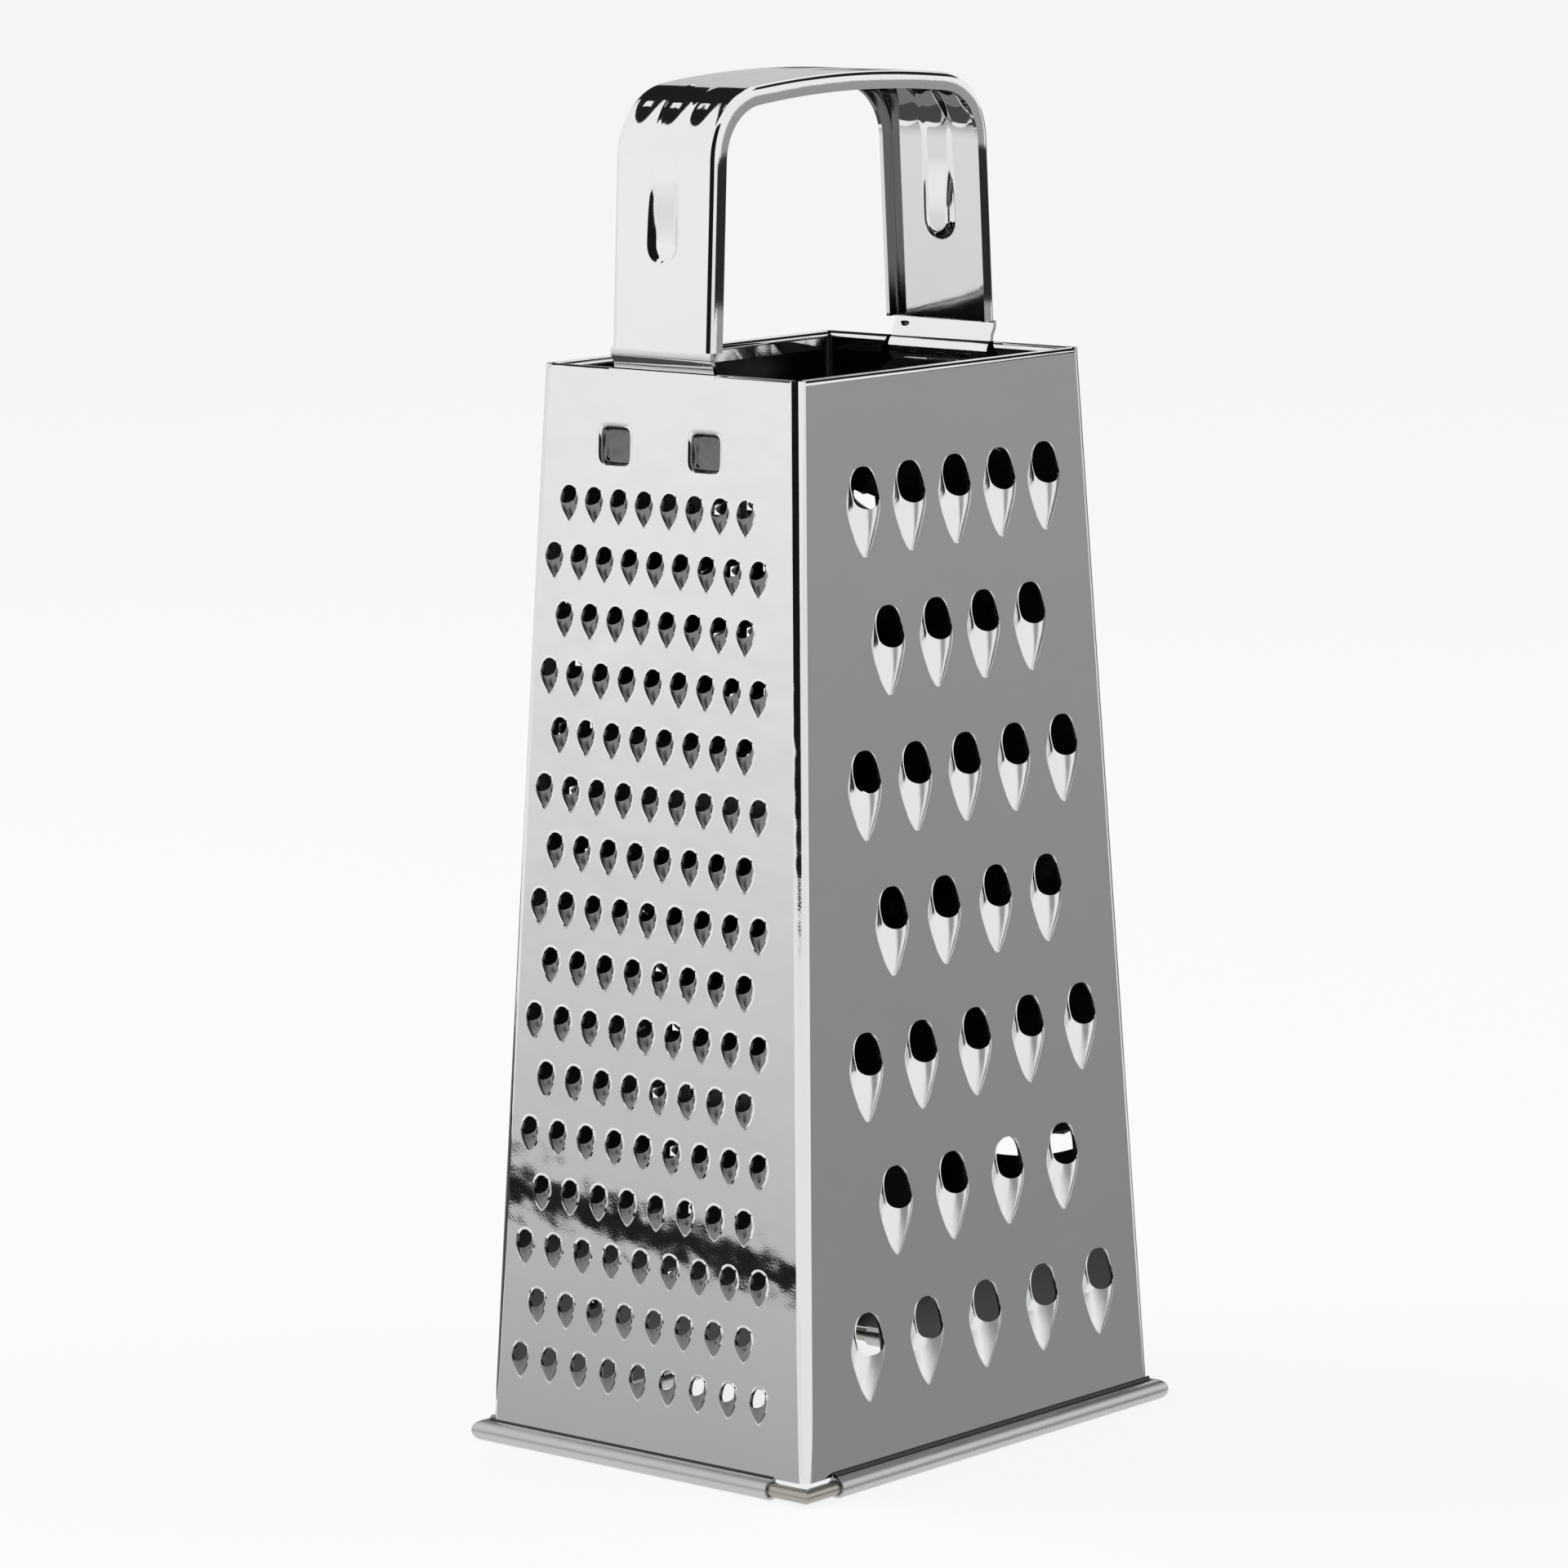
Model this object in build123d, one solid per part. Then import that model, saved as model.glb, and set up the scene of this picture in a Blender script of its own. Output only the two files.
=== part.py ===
from build123d import *
import math
import os

# A four-sided box grater pressed from thin stainless sheet. Two L-shaped shells make
# the tapered body, a steel wire inside the rolled base hem stiffens it, and a channel
# strap bridges the two narrow faces as the handle. Millimetres, +Z up, origin on the
# table under the middle of the base. The narrow faces look along -Y and +Y.

# Body: outer sizes at the base crease and at the top rim
body_height = 190.0
base_x = 74.4
base_y = 97.1
top_x = 59.2
top_y = 77.7
sheet_t = 0.5
corner_r = 1.9

# Joint between the two shells, at the left and right corners
seam_gap = 0.12
lap_width = 8.0
lap_gap = 0.06
lap_clear = 5.0

# Base hem, rolled around a wire
wire_r = 1.25
wire_fit = 0.1
hem_out = 0.6
hem_mouth_low = 1.0
hem_mouth_high = 0.4
hem_neck = 0.7
hem_flat = 0.12
bare_wire = 7.2
mitre_gap = 0.15
weld = 0.02
tuck = 0.3

# Top hem, folded inward
fold_r = 1.0
fold_drop = 2.3
fold_mitre = 2.0
rim_drop = 0.15
strap_side_gap = 0.7

# Fine shredding teeth on the front face
fine_count = 9
fine_drop = 23.1
fine_low = 12.0
fine_pitch = 10.25
fine_spread_share = 0.0958
fine_half = 1.9
fine_rise = 1.25
fine_lean = 0.9
fine_reach = 4.4
fine_hole = 2.05
fine_steps = 3
fine_offset = 2.0

# Coarse shredding teeth on the right face
coarse_count = 5
coarse_drop = 21.4
coarse_low = 20.0
coarse_pitch = 24.5
coarse_margin = 15.0
coarse_half = 4.0
coarse_rise = 2.6
coarse_lean = 2.6
coarse_reach = 10.4
coarse_hole = 5.4
coarse_steps = 4
coarse_waist_share = 0.45
coarse_waist_size_share = 0.82
coarse_offset = 1.9

# Wall of a punched tooth, thinned by the stretching
tooth_wall = 0.42

# Star-punched rasp points on the left face
star_count = 8
star_drop = 19.0
star_low = 15.0
star_pitch = 11.8
star_margin = 9.0
star_half = 1.7
star_rise = 1.5
star_peak_share = 0.72

# Slicing blades on the back face
blade_drop = 35.5
blade_low = 36.0
blade_pitch = 57.5
blade_end_margin = 6.0
blade_curve_r = 60.0
blade_slot = 4.3
blade_rise = 2.3
blade_run = 11.0
blade_wall = 0.45
blade_steps = 8

# Handle: a channel strap with one long pressed rib
strap_width = 23.0
strap_t = 0.8
strap_offset = 1.6
flange_depth = 3.2
strap_corner = 0.9
grip_rise = 49.2
grip_crown = 0.9
grip_bend_r = 13.0
crown_r = 250.0
leg_out = 0.4
leg_start = 3.6
rib_width = 7.6
rib_depth = 0.7
rib_slope = 0.6
rib_start = 18.0

# Handle feet, inside the narrow faces
foot_fit = 0.05
joggle_top = 2.4
joggle_bottom = 0.7
bead_depth = 1.3
bead_top = 0.3
bead_high = 1.4
bead_low = 2.8
bead_bottom = 4.0
foot_width = 30.0
foot_shoulder = 4.3
foot_flare = 6.6
foot_length = 20.0
foot_corner_r = 2.0

# Window of a wall that its punched plate fills
window_low = 6.0
window_high_narrow = 19.0
window_high_wide = 12.0
window_side = 2.3

# Square pressed joints between the feet and the shells
pocket_spacing = 20.8
pocket_drop = 13.7
pocket_half = 3.3
pocket_depth = 1.2
pocket_draft = 0.5
pocket_fit = 0.06

overrun = 1.0
half_share = 0.5

FRONT, RIGHT, BACK, LEFT = -90.0, 0.0, 90.0, 180.0
ROLL_R = wire_r + wire_fit + sheet_t
crease_z = 2 * ROLL_R - hem_flat


def half_across(turn, height):
    """Half the width of a face at a height above the base crease."""
    base, top = (base_x, top_x) if turn in (FRONT, BACK) else (base_y, top_y)
    return (base + (top - base) * height / body_height) / 2


def lean_in(turn):
    """How far a face comes in between the base crease and the rim."""
    return (base_y - top_y) / 2 if turn in (FRONT, BACK) else (base_x - top_x) / 2


def up_face(turn, height):
    """Distance up the slope of a face for a height above the base crease."""
    return height * math.hypot(body_height, lean_in(turn)) / body_height


def face_plane(turn):
    """Plane on a face's outer skin: x across, y up the slope, z outward."""
    out = Vector(1, 0, 0).rotate(Axis.Z, turn)
    half_depth = (base_y if turn in (FRONT, BACK) else base_x) / 2
    normal = out * body_height + Vector(0, 0, lean_in(turn))
    origin = out * half_depth + Vector(0, 0, crease_z)
    return Plane(origin=origin, x_dir=out.rotate(Axis.Z, 90), z_dir=normal)


def side_plane(turn, across, up):
    """Plane of a face's side view: x inward, y up the slope, facing across."""
    face = face_plane(turn)
    origin = face.from_local_coords(Vector(across, up, 0))
    return Plane(origin=origin, x_dir=-face.z_dir, z_dir=face.x_dir)


def prism(plane, points, depth):
    """Solid from an outline on a plane, pushed along the plane's normal."""
    outline = make_face(plane * Polyline(*points, close=True))
    return extrude(outline, amount=depth, dir=plane.z_dir)


def sloped(turn, inset):
    """Level distance that gives an inset square to a leaning face."""
    return inset * math.hypot(body_height, lean_in(turn)) / body_height


def tapered_block(inset, low, high, radius):
    """Block that follows the body's taper, inside the skin by an inset."""
    sections = []
    for height in (low, high):
        wide = 2 * half_across(FRONT, height) - 2 * sloped(RIGHT, inset)
        deep = 2 * half_across(RIGHT, height) - 2 * sloped(FRONT, inset)
        level = Plane.XY.offset(crease_z + height)
        sections.append(level * RectangleRounded(wide, deep, radius))
    return loft(sections, ruled=True)


def rear_region(gap):
    """Space of the rear shell: behind the left and right corner bends."""
    sections = []
    for height in (-overrun, body_height + overrun):
        right_edge = half_across(FRONT, height) - corner_r - gap
        front_edge = -half_across(RIGHT, height) + corner_r + gap
        wide = right_edge + base_x
        deep = base_y - front_edge
        level = Plane.XY.offset(crease_z + height)
        place = Pos(right_edge - wide / 2, front_edge + deep / 2)
        sections.append(level * place * Rectangle(wide, deep))
    return loft(sections, ruled=True)


def lap_flange(turn):
    """Flange of the front shell, lapped inside a rear face along its seam."""
    face = face_plane(turn)
    end = 1 if turn == LEFT else -1
    inner = -sheet_t - lap_gap
    low = lap_clear
    high = body_height - lap_clear
    points = []
    for height, reach in ((low, sheet_t), (high, sheet_t), (high, lap_width), (low, lap_width)):
        across = end * (half_across(turn, height) - reach)
        points.append((across, up_face(turn, height)))
    lapped = prism(face.offset(inner - sheet_t), points, sheet_t)
    joggle = []
    for height, reach in ((low, sheet_t / 2), (high, sheet_t / 2), (high, corner_r), (low, corner_r)):
        across = end * (half_across(turn, height) - reach)
        joggle.append((across, up_face(turn, height)))
    return lapped + prism(face.offset(inner - sheet_t), joggle, sheet_t + lap_gap + weld)


def base_hem(turn):
    """Sheet rolled outward around the wire under one face."""
    half = half_across(turn, 0)
    reach = half + hem_out + 2 * ROLL_R
    mitred = -1 if turn in (FRONT, BACK) else 1
    start = -reach if mitred < 0 else -half + bare_wire
    end = reach if mitred > 0 else half - bare_wire
    side = side_plane(turn, start, 0)
    centre = Pos(-hem_out, -ROLL_R)
    ring = Circle(ROLL_R) - Circle(ROLL_R - sheet_t)
    mouth_height = hem_mouth_low + hem_mouth_high
    mouth_place = Pos(ROLL_R, (hem_mouth_high - hem_mouth_low) / 2)
    ring = ring - mouth_place * Rectangle(2 * ROLL_R, mouth_height)
    neck_place = Pos((sheet_t - weld) / 2, (tuck - hem_neck) / 2)
    neck = neck_place * Rectangle(sheet_t - weld, hem_neck + tuck)
    hem = extrude(side * (centre * ring + neck), amount=end - start, dir=side.z_dir)
    face = face_plane(turn)
    over = Plane(origin=face.origin, x_dir=face.x_dir, z_dir=-face.y_dir).offset(-overrun)
    size = 3 * (hem_out + ROLL_R)
    corner = mitred * (half - mitre_gap)
    beyond = ((corner - mitred * size, -size), (corner + mitred * size, size), (corner + mitred * size, -size))
    hem = hem - prism(over, beyond, 2 * ROLL_R + 2 * overrun)
    if turn in (BACK, LEFT):
        seam = mitred * (half - corner_r - seam_gap)
        low = -seam_gap
        bend = ((seam, low), (seam + mitred * size, low), (seam + mitred * size, size), (seam, size))
        hem = hem - prism(face.offset(-2 * sheet_t), bend, 2 * sheet_t + overrun)
    return hem & Pos(0, 0, base_y) * Box(2 * base_y, 2 * base_y, 2 * base_y)


def top_fold(turn, start, end, trims):
    """Sheet folded inward along a stretch of one face's rim."""
    rim = up_face(turn, body_height)
    side = side_plane(turn, start, rim)
    inner_r = fold_r - sheet_t
    free = -fold_r - fold_drop
    edges = [
        Line((0, -fold_r - tuck), (0, -fold_r)),
        ThreePointArc((0, -fold_r), (fold_r, 0), (2 * fold_r, -fold_r)),
        Line((2 * fold_r, -fold_r), (2 * fold_r, free)),
        Line((2 * fold_r, free), (2 * fold_r - sheet_t, free)),
        Line((2 * fold_r - sheet_t, free), (2 * fold_r - sheet_t, -fold_r)),
        ThreePointArc((fold_r + inner_r, -fold_r), (fold_r, -sheet_t), (fold_r - inner_r, -fold_r)),
        Line((sheet_t, -fold_r), (sheet_t - weld, -fold_r - tuck)),
        Line((sheet_t - weld, -fold_r - tuck), (0, -fold_r - tuck)),
    ]
    strip = extrude(make_face(side * Wire(edges)), amount=end - start, dir=side.z_dir)
    inside = face_plane(turn).offset(-2 * fold_r - overrun)
    depth = 2 * fold_r + overrun - sheet_t - weld
    for at, side_sign in trims:
        outer = at + side_sign * overrun
        corner = ((at, rim + weld), (outer, rim + weld), (outer, rim + free - overrun))
        slant = fold_mitre * (overrun - free) / -free
        strip = strip - prism(inside, corner + ((at - side_sign * slant, rim + free - overrun),), depth)
    return strip


def rim_stretches(turn):
    """Start, end and trimmed ends of the folded stretches of one face's rim."""
    half = half_across(turn, body_height) - corner_r
    if turn in (RIGHT, LEFT):
        return [(-half, half, ((-half, -1), (half, 1)))]
    centre = strap_across(turn)
    gap = strap_width / 2 + strap_side_gap
    left = (-half, centre - gap, ((-half, -1), (centre - gap, 1)))
    right = (centre + gap, half, ((centre + gap, -1), (half, 1)))
    return [left, right]


def strap_across(turn):
    """Where the strap's middle stands on a narrow face."""
    return -strap_offset if turn == FRONT else strap_offset


def rim_relief(turn, start, end):
    """Space for the fold, cut from the plain top edge of a wall."""
    rim = up_face(turn, body_height)
    points = ((start, rim - fold_r), (end, rim - fold_r), (end, rim + overrun), (start, rim + overrun))
    return prism(face_plane(turn).offset(-2 * sheet_t), points, 2 * sheet_t + overrun)


def facet(*corners):
    """Flat face through its corner points."""
    return Face(Wire.make_polygon([Vector(*corner) for corner in corners], close=True))


def strip_facets(first, second):
    """Pairs of triangles between two rows of points, skipping any that have no area."""
    facets = []
    for here in range(len(first) - 1):
        corners = (first[here], first[here + 1], second[here + 1], second[here])
        for trio in (corners[:3], (corners[0], corners[2], corners[3])):
            if len(set(trio)) == 3:
                facets.append(facet(*trio))
    return facets


def arch(half, rise, lean, along, steps, foot):
    """Row of points over a tooth, from the left foot to the right foot."""
    points = []
    for step in range(steps + 1):
        angle = math.pi * (1 - step / steps)
        high = rise * math.sin(angle)
        end = step in (0, steps)
        points.append((half * math.cos(angle), along - lean * high / rise, foot if end else high))
    return points


def hole_edge(half, length, steps, level):
    """Row of points round the opening above a tooth, from left to right."""
    points = []
    for step in range(steps + 1):
        angle = math.pi * (1 - step / steps)
        points.append((half * math.cos(angle), length * math.sin(angle), level))
    return points


def scoop_rows(half, rise, lean, reach, steps, waist, foot):
    """Rows of points along a scoop: its mouth, its waist if it has one, and its tip."""
    rows = [arch(half, rise, lean, 0, steps, foot)]
    if waist:
        size = coarse_waist_size_share
        rows.append(arch(half * size, rise * size, lean * (1 - waist), -waist * reach, steps, foot))
    rows.append([(0, -reach, foot)] * (steps + 1))
    return rows


def scoop_tooth(half, rise, lean, reach, hole, steps, waist):
    """A punched tooth: loops in the front and back skins, and the facets between them."""
    skins = []
    facets = []
    for inset, foot in ((0, 0), (tooth_wall, -sheet_t)):
        rows = scoop_rows(half - inset, rise - inset, lean, reach - 2 * inset, steps, waist, foot)
        opening = hole_edge(half - inset, hole, steps, foot)
        for upper, lower in zip(rows, rows[1:]):
            facets += strip_facets(upper, lower)
        sides = [row[-1] for row in rows[1:]] + [row[0] for row in rows[-2:0:-1]]
        skins.append((rows[0], opening, opening + sides))
    (outer_mouth, outer_hole, front), (inner_mouth, inner_hole, back) = skins
    facets += strip_facets(outer_mouth, inner_mouth)
    facets += strip_facets(outer_hole, inner_hole)
    return front, back, facets


def star_tooth():
    """A rasp point: a square hole whose edges stand up as four pointed petals."""
    corners = [(-1, -1), (1, -1), (1, 1), (-1, 1)]
    front = [(star_half * x, star_half * y, 0) for x, y in corners]
    inner = star_half - tooth_wall
    back = [(inner * x, inner * y, -sheet_t) for x, y in corners]
    facets = []
    for here in range(4):
        after = (here + 1) % 4
        middle_x = (front[here][0] + front[after][0]) / 2
        middle_y = (front[here][1] + front[after][1]) / 2
        peak = (middle_x * star_peak_share, middle_y * star_peak_share, star_rise)
        facets.append(facet(front[here], front[after], peak))
        facets.append(facet(back[here], back[after], peak))
        facets.append(facet(front[here], back[here], peak))
        facets.append(facet(front[after], back[after], peak))
    return front, back, facets


def blade_tooth(half):
    """A slicing slot, bowed like a smile, whose lower lip swells out as the blade."""
    skins = []
    facets = []
    for inset, foot in ((0, 0), (blade_wall, -sheet_t)):
        upper = []
        lip = []
        root = []
        for step in range(blade_steps + 1):
            share = 2 * step / blade_steps - 1
            across = share * half
            bow = across ** 2 / (2 * blade_curve_r)
            swell = 1 - share ** 2
            upper.append((across, bow + blade_slot / 2, foot))
            high = (blade_rise - inset) * swell if swell else foot
            lip.append((across, bow - blade_slot / 2, high))
            root.append((across, bow - blade_slot / 2 - (blade_run - inset) * swell, foot))
        facets += strip_facets(lip, root)
        skins.append((upper, lip, upper + root[::-1]))
    (outer_upper, outer_lip, front), (inner_upper, inner_lip, back) = skins
    facets += strip_facets(outer_lip, inner_lip)
    facets += strip_facets(outer_upper, inner_upper)
    for end in (0, -1):
        facets += strip_facets((outer_upper[end], outer_lip[end]), (inner_upper[end], inner_lip[end]))
    return front, back, facets


def window_corners(turn):
    """Corners of the part of a face that is punched."""
    low = window_low
    high = body_height - (window_high_narrow if turn in (FRONT, BACK) else window_high_wide)
    corners = []
    for height, side in ((low, -1), (low, 1), (high, 1), (high, -1)):
        across = side * (half_across(turn, height) - window_side)
        corners.append((across, up_face(turn, height)))
    return corners


def punched_skins(turn, teeth):
    """Both skins of a punched plate with every tooth between them, open at the edge."""
    corners = window_corners(turn)
    facets = []
    front_loops = []
    back_loops = []
    for place, (front, back, sides) in teeth:
        front_loops.append(facet(*front).outer_wire().moved(place))
        back_loops.append(facet(*back).outer_wire().moved(place))
        facets += [side.moved(place) for side in sides]
    for level, loops in ((0, front_loops), (-sheet_t, back_loops)):
        outline = facet(*[(x, y, level) for x, y in corners]).outer_wire()
        facets.append(Face(outline, loops))
    location = face_plane(turn).location
    return [location * part for part in facets]


def window(turn):
    """Space in a wall that its punched plate fills."""
    return prism(face_plane(turn).offset(-2 * sheet_t), window_corners(turn), 2 * sheet_t + overrun)


def row_heights(drop, pitch, low):
    """Heights of rows from a drop below the rim down to a least height over the crease."""
    rows = int((body_height - drop - low) / pitch) + 1
    return [body_height - drop - row * pitch for row in range(rows)]


def fine_places():
    """Fine teeth: staggered rows that fan out with the face."""
    places = []
    for row, height in enumerate(row_heights(fine_drop, fine_pitch, fine_low)):
        count = fine_count - 1 + row % 2
        pitch = fine_spread_share * 2 * half_across(FRONT, height)
        for column in range(count):
            across = (column - (count - 1) / 2) * pitch - fine_offset
            places.append(Pos(across, up_face(FRONT, height), 0))
    return places


def coarse_places():
    """Coarse teeth: staggered rows with a constant margin."""
    places = []
    for row, height in enumerate(row_heights(coarse_drop, coarse_pitch, coarse_low)):
        pitch = 2 * (half_across(RIGHT, height) - coarse_margin) / (coarse_count - 1)
        count = coarse_count - row % 2
        for column in range(count):
            across = (column - (count - 1) / 2) * pitch + coarse_offset
            places.append(Pos(across, up_face(RIGHT, height), 0))
    return places


def star_places():
    """Rasp points: staggered rows with a constant margin."""
    places = []
    for row, height in enumerate(row_heights(star_drop, star_pitch, star_low)):
        pitch = 2 * (half_across(LEFT, height) - star_margin) / (star_count - 1)
        count = star_count - row % 2
        for column in range(count):
            across = (column - (count - 1) / 2) * pitch
            places.append(Pos(across, up_face(LEFT, height), 0))
    return places


def teeth_of(turn):
    """Every tooth of a face with its place."""
    if turn == FRONT:
        tooth = scoop_tooth(fine_half, fine_rise, fine_lean, fine_reach, fine_hole, fine_steps, 0)
        return [(place, tooth) for place in fine_places()]
    if turn == RIGHT:
        tooth = scoop_tooth(coarse_half, coarse_rise, coarse_lean, coarse_reach, coarse_hole,
                            coarse_steps, coarse_waist_share)
        return [(place, tooth) for place in coarse_places()]
    if turn == LEFT:
        tooth = star_tooth()
        return [(place, tooth) for place in star_places()]
    teeth = []
    for height in row_heights(blade_drop, blade_pitch, blade_low):
        tooth = blade_tooth(half_across(BACK, height) - blade_end_margin)
        teeth.append((Pos(0, up_face(BACK, height), 0), tooth))
    return teeth


def outside_window(face, turn):
    """True unless a face is one of the cut edges round a wall's window."""
    x, y, z = face_plane(turn).to_local_coords(face.center())
    low, high = window_corners(turn)[0][1], window_corners(turn)[2][1]
    across = half_across(turn, y) - window_side + weld
    in_sheet = -sheet_t + weld < z < -weld
    return not (in_sheet and low - weld < y < high + weld and abs(x) < across)


def pocket_forms():
    """Tapered square forms of a pressed joint, nested from the skin inward."""
    slope = pocket_draft / pocket_depth
    layers = {
        "skin_cut": (0, pocket_depth),
        "shell_cup": (sheet_t, pocket_depth + sheet_t),
        "foot_cut": (sheet_t + pocket_fit, pocket_depth + sheet_t + pocket_fit),
        "foot_cup": (sheet_t + pocket_fit + strap_t, pocket_depth + sheet_t + pocket_fit + strap_t),
    }
    forms = {}
    for name, (wall, depth) in layers.items():
        mouth = pocket_half + wall
        floor = mouth - slope * depth
        floor_face = Plane.XY.offset(-depth) * Rectangle(2 * floor, 2 * floor)
        forms[name] = loft([floor_face, Rectangle(2 * mouth, 2 * mouth)], ruled=True)
    return forms


def below(form, depth):
    """The part of a pocket form that lies deeper than a level under the skin."""
    size = 2 * foot_width
    return form & Pos(0, 0, -depth - size / 2) * Box(size, size, size)


def pocket_places(turn):
    """The two pressed joints of one foot."""
    up = up_face(turn, body_height) - pocket_drop
    centre = strap_across(turn)
    return [Pos(centre + side * pocket_spacing / 2, up, 0) for side in (-1, 1)]


def shell(turns, walls):
    """One L-shaped shell: walls, rim folds, base hems, pressed joints and punched faces."""
    added = []
    cuts = []
    for turn in turns:
        face = face_plane(turn).location
        cuts.append(window(turn))
        for start, end, trims in rim_stretches(turn):
            cuts.append(rim_relief(turn, start, end))
            added.append(top_fold(turn, start, end, trims))
        added.append(base_hem(turn))
        if turn in (FRONT, BACK):
            forms = pocket_forms()
            cup = below(forms["shell_cup"], sheet_t / 2) - forms["skin_cut"]
            for place in pocket_places(turn):
                cuts.append(face * place * forms["skin_cut"])
                added.append(face * place * cup)
    faces = walls.cut(*cuts).fuse(*added).faces()
    for turn in turns:
        faces = [face for face in faces if outside_window(face, turn)]
        faces += punched_skins(turn, teeth_of(turn))
    return Solid(Shell(faces))


def leg_point(turn, above_rim, inset):
    """Point of the strap's leg, as the level distance from the middle and the height."""
    face = face_plane(turn)
    up = up_face(turn, body_height) + above_rim
    point = face.from_local_coords(Vector(strap_across(turn), up, leg_out - inset))
    return point.Y, point.Z


def corner_centre():
    """Centre of the bend between the back leg and the crowned grip."""
    start_y, start_z = leg_point(BACK, leg_start, grip_bend_r)
    end_y, end_z = leg_point(BACK, grip_bend_r, grip_bend_r)
    run = math.hypot(end_y - start_y, end_z - start_z)
    along_y, along_z = (end_y - start_y) / run, (end_z - start_z) / run
    centre_z = crease_z + body_height + grip_rise + grip_crown - crown_r
    half_b = start_y * along_y + (start_z - centre_z) * along_z
    gap = start_y ** 2 + (start_z - centre_z) ** 2 - (crown_r - grip_bend_r) ** 2
    travel = -half_b + math.sqrt(half_b ** 2 - gap)
    return start_y + travel * along_y, start_z + travel * along_z


def grip_edges(inset, above_rim):
    """Profile of the strap from its front leg, over the grip, to its back leg."""
    lean = math.atan2(lean_in(BACK), body_height)
    bend_y, bend_z = corner_centre()
    crown_z = crease_z + body_height + grip_rise + grip_crown - crown_r
    steep = math.atan2(bend_z - crown_z, bend_y)
    bend_r = grip_bend_r - inset
    leg_y, leg_z = leg_point(BACK, above_rim, inset)
    angles = [lean, (lean + steep) / 2, steep]
    bend = [(bend_y + bend_r * math.cos(a), bend_z + bend_r * math.sin(a)) for a in angles]
    top = (0, crown_z + crown_r - inset)
    mirror = [(-y, z) for y, z in bend]
    return [
        Line((-leg_y, leg_z), mirror[0]),
        ThreePointArc(*mirror),
        ThreePointArc(mirror[2], top, bend[2]),
        ThreePointArc(*bend[::-1]),
        Line(bend[0], (leg_y, leg_z)),
    ]


def strap_band(outer, inner, width, above_rim):
    """Part of the strap between two insets, with its width across the middle."""
    first = Wire(grip_edges(outer, above_rim))
    second = Wire(grip_edges(inner, above_rim))
    ends = [Line(first @ 0, second @ 0), Line(first @ 1, second @ 1)]
    profile = make_face(first.edges() + second.edges() + ends)
    plane = Plane(origin=(-strap_offset - width / 2, 0, 0), x_dir=(0, 1, 0), z_dir=(1, 0, 0))
    return extrude(plane * profile, amount=width, dir=(1, 0, 0))


def rib_end(turn, outer, inner, width):
    """Round end of the rib on one leg."""
    up = up_face(turn, body_height) + rib_start + rib_width / 2
    centre = face_plane(turn).location * Pos(strap_across(turn), up, leg_out - (outer + inner) / 2)
    return centre * Cylinder(width / 2, inner - outer)


def rib(outer, inner, width):
    """Form of the long rib between two insets."""
    form = strap_band(outer, inner, width, rib_start + rib_width / 2)
    return form + [rib_end(turn, outer, inner, width) for turn in (FRONT, BACK)]


def foot(turn):
    """Foot of the strap: joggle, bead and a wide plate that carries two pressed joints."""
    across = strap_across(turn)
    rim = up_face(turn, body_height)
    seat = sheet_t + foot_fit
    skin = (
        (-leg_out, leg_start),
        (-leg_out, joggle_top),
        (seat, joggle_bottom),
        (seat, -bead_top),
        (seat + bead_depth, -bead_high),
        (seat + bead_depth, -bead_low),
        (seat, -bead_bottom),
        (seat, -foot_shoulder),
    )
    outer = [(x, rim + y) for x, y in skin]
    inner = [(x + strap_t, y) for x, y in outer]
    neck = prism(side_plane(turn, across - strap_width / 2, 0), outer + inner[::-1], strap_width)
    half = foot_width / 2
    top, flare, low = rim - foot_shoulder, rim - foot_flare, rim - foot_length
    points = [
        (across - strap_width / 2, top),
        (across + strap_width / 2, top),
        (across + half, flare),
        (across + half, low + foot_corner_r),
        (across + half - foot_corner_r, low),
        (across - half + foot_corner_r, low),
        (across - half, low + foot_corner_r),
        (across - half, flare),
    ]
    face = face_plane(turn)
    body = neck + prism(face.offset(-seat - strap_t), points, strap_t)
    forms = pocket_forms()
    cup = below(forms["foot_cup"], seat + strap_t / 2) - forms["foot_cut"]
    for place in pocket_places(turn):
        body = body - face.location * place * forms["foot_cut"] + face.location * place * cup
    return body


def handle_strap():
    """The whole handle: channel, rib and both feet."""
    channel = strap_band(0, flange_depth, strap_width, leg_start)
    hollow = strap_band(strap_t, flange_depth + overrun, strap_width - 2 * strap_t, leg_start - overrun)
    middles = [edge @ half_share for edge in grip_edges(0, leg_start)]
    rounded = []
    for edge in channel.edges():
        spot = edge @ half_share
        if any(math.hypot(spot.Y - middle.X, spot.Z - middle.Y) < weld for middle in middles):
            rounded.append(edge)
    channel = chamfer(rounded, strap_corner) - hollow
    lump = rib(strap_t - weld, strap_t + rib_depth, rib_width + 2 * rib_slope)
    return channel + lump - rib(-overrun, rib_depth, rib_width) + foot(FRONT) + foot(BACK)


def ring_wire():
    """The wire inside the base hem, with a mitred bend at each corner."""
    front = face_plane(FRONT).from_local_coords(Vector(0, -ROLL_R, hem_out))
    right = face_plane(RIGHT).from_local_coords(Vector(0, -ROLL_R, hem_out))
    x, y, z = right.X, -front.Y, front.Z
    path = Polyline((0, -y, z), (x, -y, z), (x, y, z), (-x, y, z), (-x, -y, z), close=True)
    start = Plane(origin=path @ 0, z_dir=path % 0)
    return sweep(start * Circle(wire_r), path=path, transition=Transition.RIGHT)


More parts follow.
